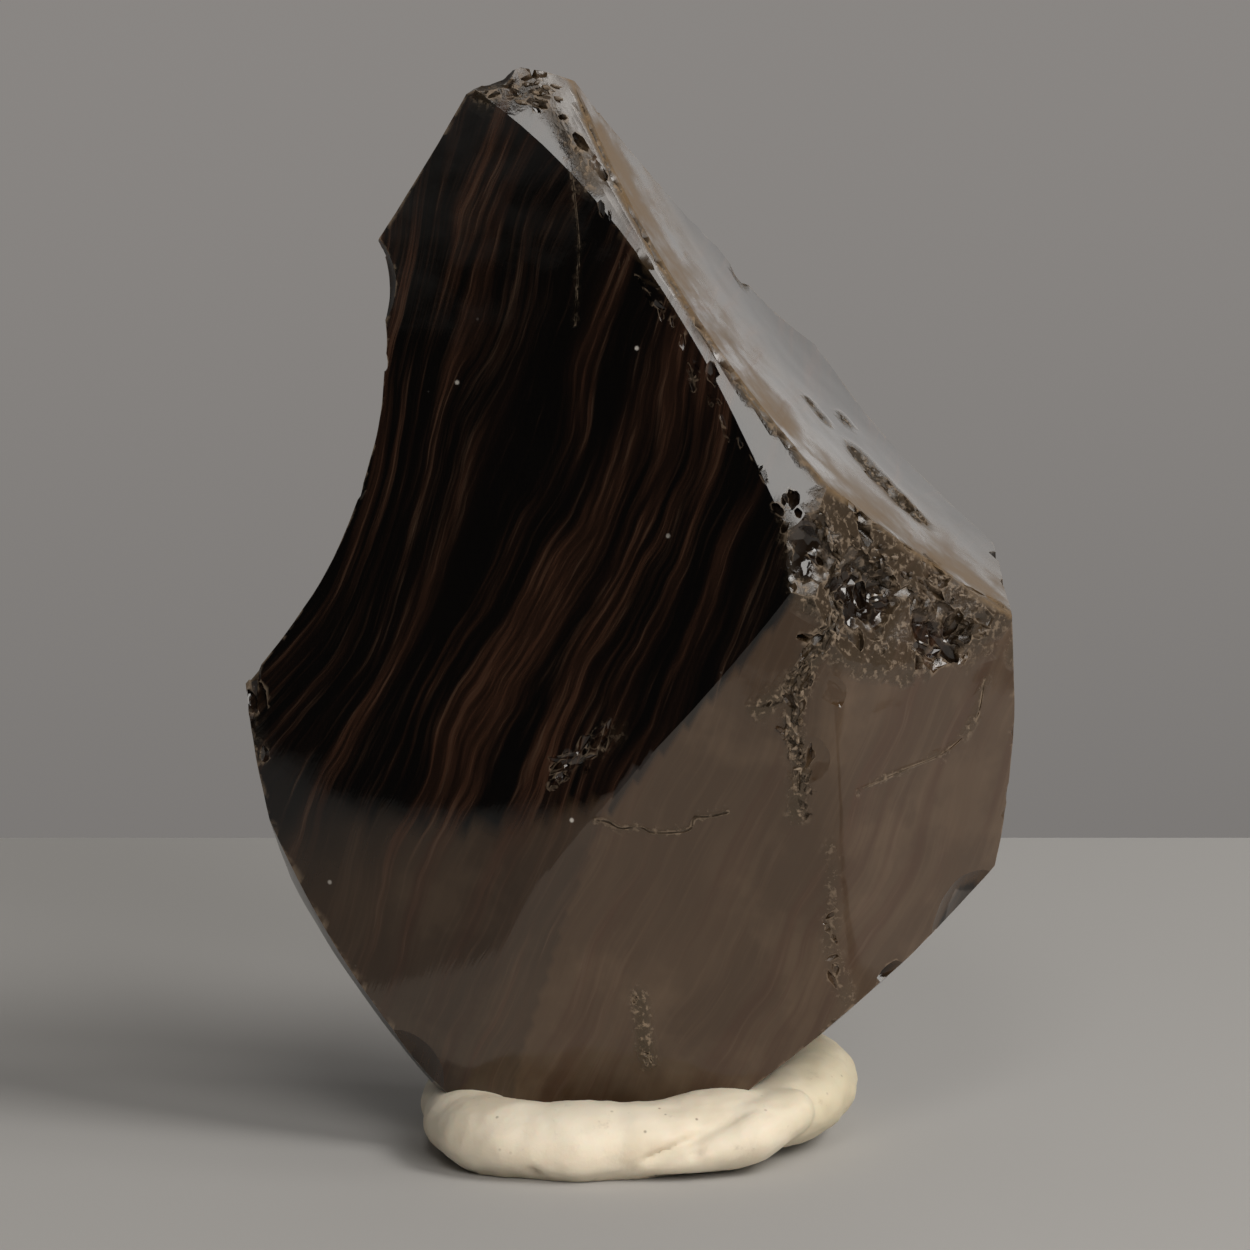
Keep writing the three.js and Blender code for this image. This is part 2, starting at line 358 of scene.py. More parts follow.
@dataclass(frozen=True)
class PuttyFinish:
    """Cream mounting putty, handled and a little grimy, with painted shade along its foot."""

    cream: Triple = (0.80, 0.725, 0.585)
    # shade: the darker tone of the blotches, and the colour of the painted shade along the foot
    shade: Triple = (0.66, 0.56, 0.41)
    grime: Triple = (0.20, 0.15, 0.10)
    yellowed: Triple = (0.55, 0.47, 0.27)
    roughness: float = 0.62
    index: float = 1.45
    milkiness: float = 0.12
    milk_depth: float = 0.002  # in metres, as the next one
    grooves: float = 0.00022

    def build(self) -> bpy.types.Material:
        """Build the material.

        Returns:
            The material.
        """
        n = NodeBench.material("mounting_putty")
        point = n.place()
        blotch = n.grain(point, 0.09, 3.0, 0.55)
        colour = n.blend(blotch.rise(0.42, 0.68) * 0.55, self.cream, self.shade)
        right = n.along(point, (1.0, 0.0, 0.0))
        colour = n.blend(right.rise(14.0, 25.0) * 0.45, colour, self.yellowed)
        # painted shade: the putty darkens within 1.6 mm of the table, where it meets it
        low = n.along(point, (0.0, 0.0, 1.0))
        colour = n.blend((1.0 - low.rise(0.0, 1.6)) * 0.4, colour, self.shade)
        specks = (1.0 - n.cells(point, 0.5).rise(0.04, 0.13)) * n.grain(point, 0.16, 2.0).rise(0.46, 0.6)
        colour = n.blend(specks * 0.75, colour, self.grime)
        smear = n.grain(point, 0.35, 4.0, 0.7).rise(0.6, 0.8) * 0.3
        colour = n.blend(smear, colour, self.grime)
        gloss = self.roughness - blotch * 0.12 + specks * 0.1
        height = n.grain(point, 0.7, 4.0, 0.6) + n.grain(point, 3.0, 2.0) * 0.25
        return n.finish(
            {
                "Base Color": colour,
                "Roughness": gloss,
                "Subsurface Weight": self.milkiness,
                "Subsurface Scale": self.milk_depth,
                "IOR": self.index,
                "Normal": n.bump(height, 0.3, self.grooves),
            }
        )


@dataclass(frozen=True)
class TableFinish:
    """A plain pale tabletop."""

    grey: Triple = (0.42, 0.412, 0.4)
    mottle: float = 1.06  # how much brighter its pale patches are
    roughness: float = 0.75

    def build(self) -> bpy.types.Material:
        """Build the material.

        Returns:
            The material.
        """
        n = NodeBench.material("pale_table")
        pale = tuple(c * self.mottle for c in self.grey)
        colour = n.blend(n.grain(n.place(), 0.004, 2.0), self.grey, pale)
        return n.finish({"Base Color": colour, "Roughness": self.roughness})


# ---- Mesh helpers ---------------------------------------------------------------------------------


def new_object(name: str, bm: bmesh.types.BMesh) -> bpy.types.Object:
    """Put a bmesh into a new object of the scene.

    Args:
        name: The object's name.
        bm: The mesh, freed here.

    Returns:
        The object.
    """
    mesh = bpy.data.meshes.new(name)
    bm.to_mesh(mesh)
    bm.free()
    piece = bpy.data.objects.new(name, mesh)
    bpy.context.scene.collection.objects.link(piece)
    return piece


def gather(parts: list[bmesh.types.BMesh]) -> bmesh.types.BMesh:
    """Put several meshes into one.

    Args:
        parts: The meshes, freed here.

    Returns:
        The one mesh.
    """
    whole = bmesh.new()
    for part in parts:
        mesh = bpy.data.meshes.new("part")
        part.to_mesh(mesh)
        part.free()
        whole.from_mesh(mesh)
        bpy.data.meshes.remove(mesh)
    return whole


def settle(piece: bpy.types.Object) -> None:
    """Apply a piece's modifiers to its mesh.

    Args:
        piece: The object.
    """
    graph = bpy.context.evaluated_depsgraph_get()
    mesh = bpy.data.meshes.new_from_object(piece.evaluated_get(graph))
    piece.modifiers.clear()
    old = piece.data
    piece.data = mesh
    bpy.data.meshes.remove(old)


def carve(piece: bpy.types.Object, tool: bpy.types.Object, operation: str = "DIFFERENCE") -> None:
    """Cut a piece with a tool, or join the tool to it, and throw the tool away.

    Args:
        piece: The object that stays.
        tool: The object that cuts.
        operation: DIFFERENCE or UNION.
    """
    cut = piece.modifiers.new("cut", "BOOLEAN")
    cut.solver = "MANIFOLD"
    cut.operation = operation
    cut.object = tool
    settle(piece)
    mesh = tool.data
    bpy.data.objects.remove(tool)
    bpy.data.meshes.remove(mesh)


def copy_of(mesh: bpy.types.Mesh) -> bmesh.types.BMesh:
    """Copy a mesh into a bmesh."""
    bm = bmesh.new()
    bm.from_mesh(mesh)
    return bm


def scatter(rng: random.Random, spread: float) -> Vector:
    """Draw a random step in space."""
    return Vector([rng.gauss(0, spread) for _ in range(3)])


def points_of(mesh: bpy.types.Mesh) -> np.ndarray:
    """Read a mesh's points.

    Args:
        mesh: The mesh.

    Returns:
        One row for each point.
    """
    flat = np.empty(len(mesh.vertices) * 3)
    mesh.vertices.foreach_get("co", flat)
    return flat.reshape(-1, 3)


def set_points(mesh: bpy.types.Mesh, points: np.ndarray) -> None:
    """Move a mesh's points."""
    mesh.vertices.foreach_set("co", points.ravel())
    mesh.update()


def set_mark(mesh: bpy.types.Mesh, mark: Mark, values: np.ndarray) -> None:
    """Store a mask on a mesh."""
    mesh.attributes.new(mark.value, "FLOAT", "POINT").data.foreach_set("value", values.astype(np.float32))


def near_path(points: np.ndarray, path: tuple[Triple, ...]) -> np.ndarray:
    """Measure each point's distance to a path.

    Args:
        points: One row for each point.
        path: The path's corners.

    Returns:
        The distances.
    """
    best = np.full(len(points), np.inf)
    for start, end in zip(path, path[1:]):
        a, d = np.array(start), np.array(end) - np.array(start)
        t = np.clip((points - a) @ d / (d @ d), 0.0, 1.0)
        best = np.minimum(best, np.linalg.norm(points - a - t[:, None] * d, axis=1))
    return best


def fade(distance: np.ndarray, near: float, far: float) -> np.ndarray:
    """Fall smoothly from 1 within near to 0 beyond far."""
    t = np.clip((far - distance) / (far - near), 0.0, 1.0)
    return t * t * (3.0 - 2.0 * t)


def wander(point: Vector, scale: float, octaves: int = 3) -> float:
    """Give smooth fractal noise about zero."""
    return noise.fractal(point * scale, 1.0, 2.0, octaves)


def smooth_path(line: tuple[Triple, ...], steps: int) -> list[Vector]:
    """Run a smooth curve through the points of a line.

    Args:
        line: The points.
        steps: Steps from one point to the next.

    Returns:
        The curve's points.
    """
    knots = [Vector(p) for p in line]
    knots = [2 * knots[0] - knots[1], *knots, 2 * knots[-1] - knots[-2]]
    path = []
    for a, b, c, d in zip(knots, knots[1:], knots[2:], knots[3:]):
        for t in (i / steps for i in range(steps)):
            pull = (2 * a - 5 * b + 4 * c - d) * t * t + (3 * b - a - 3 * c + d) * t**3
            path.append((2 * b + (c - a) * t + pull) / 2)
    return [*path, knots[-2]]


def sweep(path: list[Vector], sizes: list[float], sides: int, squash: float = 1.0) -> bmesh.types.BMesh:
    """Draw a round section along a path.

    Args:
        path: The points of the middle line.
        sizes: The section's radius at each point.
        sides: The section's sides.
        squash: The section's height over its width.

    Returns:
        The closed tube.
    """
    stations = []
    for i, (point, size) in enumerate(zip(path, sizes)):
        ahead = (path[min(i + 1, len(path) - 1)] - path[max(i - 1, 0)]).normalized()
        side = ahead.cross(Vector((0, 0, 1)) if abs(ahead.z) < 0.95 else Vector((0, 1, 0))).normalized()
        up = side.cross(ahead)
        turn = Matrix((side * size, up * size * squash, ahead)).transposed().to_4x4()
        stations.append(Matrix.Translation(point) @ turn)
    bm = bmesh.new()
    bmesh.ops.create_circle(bm, segments=sides, radius=1.0)
    bm.transform(stations[0])
    rim = list(bm.edges)
    for before, after in zip(stations, stations[1:]):
        grown = bmesh.ops.extrude_edge_only(bm, edges=rim)["geom"]
        ring = [g for g in grown if isinstance(g, bmesh.types.BMVert)]
        rim = [g for g in grown if isinstance(g, bmesh.types.BMEdge) and g.is_boundary]
        bmesh.ops.transform(bm, matrix=after @ before.inverted(), verts=ring)
    bmesh.ops.holes_fill(bm, edges=[e for e in bm.edges if e.is_boundary])
    bmesh.ops.recalc_face_normals(bm, faces=bm.faces)
    return bm


def deliver(
    piece: bpy.types.Object, node: str, finish: bpy.types.Material, crease: float
) -> None:
    """Bring a finished piece into the frame and dress it.

    Args:
        piece: The object, in workbench millimetres.
        node: The CAD node it stands for.
        finish: Its material.
        crease: The angle in degrees over which an edge stays sharp.
    """
    piece.data.transform(Matrix.Scale(MM, 4) @ Matrix.Translation(BENCH_TO_FRAME))
    piece.data.materials.clear()
    piece.data.materials.append(finish)
    piece.data.shade_smooth()
    piece.data.set_sharp_from_angle(angle=math.radians(crease))
    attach(piece, ROOT)
    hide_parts(node)
    LOG.info("%s: %d triangles", piece.name, sum(len(p.vertices) - 2 for p in piece.data.polygons))


# ---- The chunk ------------------------------------------------------------------------------------

HEART = (0.0, 0.0, 55.0)  # a point well inside the glass: every face turns away from it
ARENA = 120.0  # half the width of a breaking cut
DEEP = 45.0  # half its thickness
EVEN_SHARE, BUNCHED_SHARE = 0.35, 0.65  # how its cells are spread: evenly, and bunched in the middle
FACE_REACH = 8.0  # how far melting and ripples may carry a face off its bowl
NEARBY = 75.0  # how far from the heart a face still needs its sway
SWAY_SCALE, FINE_SWAY_SCALE, FINE_SWAY = 0.055, 0.3, 0.22
# The room that a flake, a sliver and a crack keep free of others cut in the same go: the first two over
# their size, the last in millimetres.
FLAKE_ROOM, SLIVER_ROOM, CRACK_ROOM = 1.1, 1.3, 12.0

CORNER: dict[str, Triple] = {
    "tip_front": (-9.3, -8, 121.5),
    "left_tip": (-44.5, -4, 55),
    "shoulder": (20.5, -26, 78),
    "left_tip_low": (-43, -5, 45.5),
    "scar_end": (-7, -19, 48),
    "foot_edge": (-18.2, -11.4, 12),
    "scar_top": (18, -26, 72),
    "right_foot": (11, -14, 8),
    "keel_top": (22, -25.8, 62.5),
    "keel_low": (24.5, -17.2, 19),
    "right_edge": (43.5, -8.3, 58.6),
    "ridge_low": (18.6, -24.9, 77.7),
    "right_horn": (42.3, -10, 63.2),
    "brow_low": (26.2, -21.8, 60.3),
    "crest_tip": (-6.6, -6, 121.3),
    "brow": (23, -23, 77.5),
    "ridge_top": (-2.9, -10.6, 108.1),
    "ridge_right": (7.7, -14.2, 95.5),
    "side_top": (-2.6, -10.0, 107.5),
    "side_low": (13.6, -20.4, 81.5),
    "side_right": (9.0, -15.0, 94.0),
    "tip_peak": (-12.4, -3, 124.5),
    "tip_right": (-7.2, -3, 123.2),
    "tip_back": (-12, 4, 124),
    "tip_left": (-17.6, -4, 122.4),
    "left_notch": (-28.9, -2.3, 104.5),
    "left_shoulder": (-25, 8, 104),
    "back_shoulder": (-16, 24, 70),
    "left_back": (-40.5, 9, 38),
    "heel_edge": (-43.9, -5, 45.5),
    "left_foot": (-22.9, -9.7, 9.6),
    "left_heel": (-41, 6, 31),
    "heel_front": (-23.4, -6, 8),
    "heel_top": (-42, 3, 35),
    "heel_back": (-17, 16, 8),
    "base_front": (-16, -12, 4.2),
    "base_right": (10, -13, 3.8),
    "base_back": (4, 14, 3.6),
    "right_low": (42, -4.8, 33),
    "under_front": (25.4, -15.6, 19),
    "under_back": (30, 14, 17),
    "right_back": (43.2, 10, 62),
    "crest_high": (-3.5, 1.9, 118.7),
    "crest_back": (20.1, 23.4, 92.4),
    "crest_end": (41, 14.5, 68.6),
    "back_hump": (-10, 27, 60),
    "back_low_right": (23, 18, 25),
    "back_low_left": (-13, 18, 18),
    "left_rear": (-39.5, 8, 46),
}


@dataclass(frozen=True)
class Ripple:
    """Faint rings left in a broken face round the point where it was struck."""

    struck: Triple
    pitch: float
    height: float
    reach: float
    uneven: float = 0.25  # how far the pitch varies
    beat: float = 11.0  # over which distance

    def lift(self, points: np.ndarray) -> np.ndarray:
        """Give the rings' height at each point.

        Args:
            points: One row for each point.

        Returns:
            The heights.
        """
        away = np.linalg.norm(points - np.array(self.struck), axis=1)
        stretch = 1.0 + self.uneven * np.sin(away / self.beat)
        rings = np.sin(2.0 * math.pi * away * stretch / self.pitch)
        return self.height * rings * np.exp(-((away / self.reach) ** 2))


@dataclass(frozen=True)
class Step:
    """One rounded step in a face, on a circle round the point where it was struck."""

    struck: Triple
    radius: float
    height: float
    width: float

    def lift(self, points: np.ndarray) -> np.ndarray:
        """Give the step's height at each point.

        Args:
            points: One row for each point.

        Returns:
            The heights.
        """
        away = np.linalg.norm(points - np.array(self.struck), axis=1) - self.radius
        return self.height * np.exp(-((away / self.width) ** 2))


@dataclass(frozen=True)
class BrokenFace:
    """One broken face: it passes through three corners, bent along its first edge and across it.

    A positive bend is the radius of a bulge, a negative one that of a hollow. Sway is how far the face
    wanders off its bowl, and melt how softly it runs into the face it melts into.
    """

    at: tuple[str, str, str]
    bend: tuple[float, float]
    sway: float = 0.12
    marks: tuple[Ripple | Step, ...] = ()
    melts: "BrokenFace | None" = None
    melt: float = 0.4

    def corners(self) -> np.ndarray:
        """Give the three corners, one a row."""
        return np.array([CORNER[name] for name in self.at], dtype=float)

    def axes(self) -> tuple[np.ndarray, np.ndarray]:
        """Work out the face's own axes.

        Returns:
            Its x, y and z axes as rows, z pointing out of the glass, and its middle.
        """
        a, b, c = self.corners()
        x = (b - a) / np.linalg.norm(b - a)
        z = np.cross(x, c - a)
        z /= np.linalg.norm(z)
        if z @ (a - np.array(HEART)) < 0:
            z = -z
        return np.array([x, np.cross(z, x), z]), (a + b + c) / 3.0

    def bowl(self, x: np.ndarray, y: np.ndarray) -> np.ndarray:
        """Give the bent face's height over its plane, which it meets at its corners.

        Args:
            x: Places along the first edge.
            y: Places across it.

        Returns:
            The heights.
        """
        along, across = self.bend
        axes, middle = self.axes()
        flat = (self.corners() - middle) @ axes.T

        def curve(u: np.ndarray, v: np.ndarray) -> np.ndarray:
            """Give the height of the bend itself."""
            return -(u * u) / (2 * along) - (v * v) / (2 * across)

        rows = np.column_stack([flat[:, 0], flat[:, 1], np.ones(3)])
        level = np.linalg.solve(rows, curve(flat[:, 0], flat[:, 1]))
        return curve(x, y) - (level[0] * x + level[1] * y + level[2])

    def heights(self, x: np.ndarray, y: np.ndarray) -> np.ndarray:
        """Give the finished face's height over its plane.

        Args:
            x: Places along the first edge.
            y: Places across it.

        Returns:
            The heights.
        """
        axes, middle = self.axes()
        height = self.bowl(x, y)
        if self.melts is not None:
            other, origin = self.melts.axes()
            meet = height.copy()
            for _ in range(5):
                place = (np.column_stack([x, y, meet]) @ axes + middle - origin) @ other.T
                miss = place[:, 2] - self.melts.bowl(place[:, 0], place[:, 1])
                meet = meet - miss / (other[2] @ axes[2])
            gap = np.clip((height - meet) / self.melt, -40.0, 40.0)
            height = height - self.melt * np.log1p(np.exp(gap))
        places = np.column_stack([x, y, height]) @ axes + middle
        for mark in self.marks:
            height = height + mark.lift(places)
        near = np.nonzero(np.abs(places - np.array(HEART)).max(axis=1) < NEARBY)[0]
        for i in near:
            point = Vector(places[i])
            fine = FINE_SWAY * wander(point, FINE_SWAY_SCALE, 2)
            height[i] += self.sway * (wander(point, SWAY_SCALE) + fine)
        return np.minimum(height, DEEP)

    def holds(self, points: np.ndarray, slack: float) -> np.ndarray:
        """Tell which points lie on this face.

        Args:
            points: One row for each point.
            slack: How far off the face still counts.

        Returns:
            1 for a point on the face, 0 for the others.
        """
        axes, middle = self.axes()
        flat = (points - middle) @ axes.T
        near = np.nonzero(np.abs(flat[:, 2] - self.bowl(flat[:, 0], flat[:, 1])) < slack + FACE_REACH)[0]
        held = np.zeros(len(points))
        held[near] = np.abs(flat[near, 2] - self.heights(flat[near, 0], flat[near, 1])) < slack
        return held

    def cutter(self, cells: int) -> bpy.types.Object:
        """Build the block whose removal leaves this face.

        Args:
            cells: How many cells the face is cut into each way.

        Returns:
            The block.
        """
        axes, middle = self.axes()
        bm = bmesh.new()
        bmesh.ops.create_grid(bm, x_segments=cells, y_segments=cells, size=1.0)
        even = np.array([v.co[:2] for v in bm.verts])
        spread = ARENA * (EVEN_SHARE * even + BUNCHED_SHARE * even**5)
        heights = self.heights(spread[:, 0], spread[:, 1])
        for v, (x, y), z in zip(bm.verts, spread, heights):
            v.co = (x, y, z)
        rim = [e for e in bm.edges if e.is_boundary]
        wall = bmesh.ops.extrude_edge_only(bm, edges=rim)["geom"]
        for v in (g for g in wall if isinstance(g, bmesh.types.BMVert)):
            v.co.z = 2.0 * DEEP
        rim = [g for g in wall if isinstance(g, bmesh.types.BMEdge) and g.is_boundary]
        bmesh.ops.edgeloop_fill(bm, edges=rim)
        bmesh.ops.recalc_face_normals(bm, faces=bm.faces)
        turn = Matrix(axes.T.tolist()).to_4x4()
        bm.transform(Matrix.Translation(middle.tolist()) @ turn)
        return new_object("cut", bm)


FRONT_FOOT = BrokenFace(("left_tip_low", "scar_end", "foot_edge"), (600, 600))
LOWER_RIGHT = BrokenFace(
    ("keel_top", "keel_low", "right_edge"),
    (900, 400),
    0.16,
    marks=(Step((23, -24.5, 67), 18.0, 0.16, 1.1), Ripple((23, -24.5, 67), 6.0, 0.03, 26.0)),
)

FACES: dict[str, BrokenFace] = {
    "front": BrokenFace(
        ("tip_front", "left_tip", "shoulder"), (-260, -120), 0.14, melts=FRONT_FOOT, melt=2.6
    ),
    "lower_front": BrokenFace(
        ("scar_top", "foot_edge", "right_foot"), (1500, 400), 0.16, melts=LOWER_RIGHT, melt=0.5
    ),
    "lower_right": LOWER_RIGHT,
    "under_brow": BrokenFace(("ridge_low", "right_horn", "brow_low"), (-90, -70), 0.7),
    "crest": BrokenFace(("crest_tip", "brow", "right_horn"), (-150, -250), 0.1),
    "ridge": BrokenFace(("ridge_top", "ridge_low", "ridge_right"), (-200, 60), 0.3),
    "ridge_side": BrokenFace(("side_top", "side_low", "side_right"), (-300, 90), 0.2),
    "tip": BrokenFace(("tip_peak", "tip_right", "tip_back"), (60, 60), 0.6),
    "tip_slope": BrokenFace(("tip_left", "tip_peak", "tip_back"), (60, 60), 0.6),
    "upper_left": BrokenFace(("tip_left", "left_notch", "left_shoulder"), (-300, 200)),
    "left_scoop": BrokenFace(
        ("left_notch", "left_tip", "back_shoulder"),
        (-65, -120),
        marks=(Ripple((-28, 4, 104), 9.0, 0.07, 45.0),),
    ),
    "left_end": BrokenFace(("left_tip", "left_tip_low", "left_back"), (300, 200), 0.3),
    "lower_left": BrokenFace(("heel_edge", "left_foot", "left_heel"), (110, 140), 0.1),
    "heel": BrokenFace(("heel_front", "heel_top", "heel_back"), (200, 200)),
    "base": BrokenFace(("base_front", "base_right", "base_back"), (200, 200)),
    "under_right": BrokenFace(("right_low", "under_front", "under_back"), (180, 300), 0.2),
    "right_end": BrokenFace(("right_edge", "right_low", "right_back"), (120, 300), 0.3),
    "back_top": BrokenFace(
        ("crest_high", "crest_back", "left_shoulder"),
        (300, 300),
        marks=(Ripple((-8, 6, 116), 8.0, 0.06, 50.0),),
    ),
    "back_right": BrokenFace(
        ("crest_back", "crest_end", "back_hump"),
        (-160, -160),
        marks=(Ripple((38, 18, 66), 9.0, 0.08, 45.0),),
    ),
    "back_low": BrokenFace(
        ("back_hump", "back_low_right", "back_low_left"),
        (150, -150),
        marks=(Ripple((24, 18, 25), 7.0, 0.06, 40.0),),
    ),
    "back_left": BrokenFace(
        ("back_hump", "left_rear", "back_low_left"),
        (-200, -200),
        marks=(Ripple((-10, 27, 60), 7.0, 0.06, 40.0),),
    ),
}


@dataclass(frozen=True)
class Flake:
    """The scar of a flake: a ball sunk by depth at a point, coming from a direction."""

    at: Triple
    out: Triple
    radius: float
    depth: float
    rough: float = 0.05

    def middle(self) -> Vector:
        """Give the ball's middle."""
        return Vector(self.at) + Vector(self.out).normalized() * (self.radius - self.depth)

    def room(self) -> Room:
        """Give the room that the rough ball needs."""
        return self.middle(), self.radius * FLAKE_ROOM + self.rough

    def ball(self, detail: int) -> bmesh.types.BMesh:
        """Build the ball.

        Args:
            detail: How often the ball's faces are divided.

        Returns:
            The ball's mesh.
        """
        bm = bmesh.new()
        middle = self.middle()
        grain = 1.1 / max(self.radius * 0.4, 0.6)
        bmesh.ops.create_icosphere(bm, subdivisions=detail, radius=self.radius)
        for v in bm.verts:
            spot = middle + v.co
            v.co = spot + v.co.normalized() * self.rough * wander(spot, grain)
        return bm


# Where whole flakes came off. The last five, behind, are the widest.
SCARS: tuple[Flake, ...] = (
    Flake((26.6, -19.7, 65.9), (0.5, -0.8, 0.35), 7, 1.7, 0.9),
    Flake((34.7, -15, 61.5), (0.5, -0.8, 0.1), 6, 1.4, 0.9),
    Flake((20.3, -24.2, 71.5), (0.3, -0.9, 0.2), 9, 1.4, 0.8),
    Flake((22.6, -24.5, 54.8), (0.2, -1, 0.1), 7, 0.8, 0.3),
    Flake((19.6, -22.6, 45), (-0.1, -1, 0.2), 9, 0.5, 0.2),
    Flake((13.4, 17.8, 99.3), (0.8, 0.1, 0.5), 5, 0.6, 0.2),
    Flake((-28.2, -2.4, 100.5), (-1, -0.6, -0.1), 9, 1.1, 0.1),
    Flake((-24.4, -9, 10.6), (-0.6, -0.8, -0.3), 12, 1.1, 0.1),
    Flake((-44, -4.6, 50.6), (-1, -0.3, 0.2), 3, 0.7, 0.1),
    Flake((-43.4, -5, 45.6), (-1, -0.2, -0.4), 3.5, 0.6, 0.1),
    Flake((-3.5, -10.5, 114.6), (0.2, -0.8, 0.6), 10, 1.5, 0.3),
    Flake((1.6, -12.6, 101.6), (0.1, -0.8, 0.6), 8, 0.25, 0.05),
    Flake((11.6, -19.4, 86.2), (0, -0.9, 0.5), 9, 0.25, 0.05),
    Flake((-5.5, -19.4, 48), (0.1, -1, 0.2), 9, 0.5, 0.2),
    Flake((40, -8, 31), (0.6, -0.7, -0.5), 14, 1.5, 0.1),
    Flake((-10, -6, 123.6), (0.2, -0.6, 0.8), 5, 1, 0.3),
    Flake((-15.5, -4, 123), (-0.3, -0.6, 0.8), 4, 0.4, 0.2),
    Flake((5, 21, 84), (-0.1, 0.9, 0.5), 40, 1.6, 0.15),
    Flake((-24, 14, 84), (-0.6, 0.7, 0.3), 30, 1.8, 0.15),
    Flake((30, 18, 50), (0.6, 0.8, 0.1), 34, 2, 0.15),
    Flake((2, 24, 38), (0, 1, -0.3), 30, 1.6, 0.15),
    Flake((-33, 9, 34), (-0.7, 0.6, -0.4), 18, 1.5, 0.1),
)

# The pits in the pale facet.
CREST_PITS: tuple[Flake, ...] = (
    Flake((26.8, 3.6, 79), (0.6, -0.3, 0.8), 4.0, 0.55, 0.35),
    Flake((28.7, 2.6, 76.9), (0.6, -0.3, 0.8), 4.4, 0.8, 0.45),
    Flake((30.8, 1.9, 74.8), (0.6, -0.3, 0.8), 4.4, 0.85, 0.45),
    Flake((32.6, 1.7, 73.0), (0.6, -0.3, 0.8), 3.4, 0.5, 0.35),
    Flake((22.2, 4.3, 84.0), (0.6, -0.3, 0.8), 2.0, 0.25, 0.2),
    Flake((20.9, 4.8, 85.4), (0.6, -0.3, 0.8), 1.8, 0.2, 0.2),
    Flake((25.0, 10.8, 82.9), (0.6, -0.3, 0.8), 2.0, 0.2, 0.2),
    Flake((12.8, 15.6, 99.0), (0.6, 0.2, 0.8), 2.4, 0.4, 0.2),
)


@dataclass(frozen=True)
class Crack:
    """A hairline crack: a slender groove along the points of a line."""

    line: tuple[Triple, ...]
    radius: float = 0.06
    crush: float = 0.1  # how crushed the glass is beside it
    pointed: float = 0.3  # the radius at its ends, of its radius
    uneven: float = 0.5  # how far the radius varies

    def groove(self) -> bmesh.types.BMesh:
        """Build the groove's solid.

        Returns:
            Its mesh.
        """
        path = smooth_path(self.line, 6)
        sizes = [self.radius * (1.0 + self.uneven * wander(p, 0.8)) for p in path]
        sizes[0] = sizes[-1] = self.radius * self.pointed
        return sweep(path, sizes, 6)

    def room(self) -> Room:
        """Give the room kept free for the groove."""
        return Vector(self.line[len(self.line) // 2]), CRACK_ROOM


@dataclass(frozen=True)
class Shard:
    """A splinter broken out of the surface: a jagged sliver sunk along a run."""

    at: Triple
    run: Triple
    out: Triple
    length: float
    width: float
    sunk: float

    def middle(self) -> Vector:
        """Give the sliver's middle."""
        return Vector(self.at) + Vector(self.out).normalized() * (self.width - self.sunk)

    def room(self) -> Room:
        """Give the room that the sliver needs."""
        return self.middle(), self.length * SLIVER_ROOM

    def sliver(self) -> bmesh.types.BMesh:
        """Build the sliver's solid.

        Returns:
            Its mesh.
        """
        bm = bmesh.new()
        bmesh.ops.create_icosphere(bm, subdivisions=2 if self.width > 0.6 else 1, radius=1.0)
        for v in bm.verts:
            v.co *= 1.0 + 0.5 * wander(v.co * 1.9 + Vector(self.at) * 7.0, 1.0, 2)
        out = Vector(self.out).normalized()
        side = out.cross(Vector(self.run)).normalized()
        along = side.cross(out)
        turn = Matrix((along * self.length, side * self.width, out * self.width)).transposed().to_4x4()
        bm.transform(Matrix.Translation(self.middle()) @ turn)
        bmesh.ops.recalc_face_normals(bm, faces=bm.faces)
        return bm


# The crack across the lower face, the one down the dark face, three arcs and the crescent beside the
# brow, and the curved scratch on the right.
CRACKS: tuple[Crack, ...] = (
    Crack(
        (
            (-4.1, -18.4, 40.8), (-2.6, -18.5, 40.6), (-1.2, -18.6, 39.9), (0.9, -18.8, 40.1),
            (2.3, -19.0, 39.5), (4.6, -19.3, 39.5), (6.6, -19.6, 40.0), (7.1, -19.9, 41.3),
            (8.8, -20.1, 41.5), (11.0, -20.5, 42.1),
        ),
        0.14,
        0.7,
    ),
    Crack(
        (
            (-7.8, -8.2, 115.3), (-6.9, -8.4, 113.6), (-6.2, -8.6, 108.6), (-5.9, -8.7, 104.1),
            (-6.1, -8.8, 99.6), (-6.3, -8.9, 95.6),
        )
    ),
    Crack(((3.6, -19.8, 60.5), (7.6, -21.8, 61.7), (9.6, -22.7, 62.9))),
    Crack(((11.3, -23.0, 65.6), (13.7, -24.4, 66.2))),
    Crack(((5.4, -21.5, 58.3), (9.3, -23.8, 58.9))),
    Crack(((11.8, -20.7, 75.9), (12.9, -21.7, 74.6), (14.4, -22.8, 73.9), (16.0, -23.9, 73.6)), 0.18, 0.9),
    Crack(
        ((40.1, -10.8, 55.5), (39, -11, 51), (35.5, -13.4, 47.7), (30.2, -17.4, 46.1), (25.6, -20.7, 44.6)),
        0.09,
        0.7,
    ),
)


@dataclass(frozen=True)
class Spall:
    """Splinters scattered along a line of the rock where it has been knocked."""

    line: tuple[Triple, ...]
    count: int
    spread: float  # how far they stray from it
    width: tuple[float, float]  # from the least to the most, as the next two
    sunk: tuple[float, float]
    stretch: tuple[float, float] = (1.2, 3.0)  # their length over their width
    crush: float = 1.0  # how crushed the glass round them is
    tilt: float = 0.4  # how far they tilt from the surface
    veer: float = 0.35  # and turn from the line
    deepest: float = 0.7  # how deep they sink at most, of their width


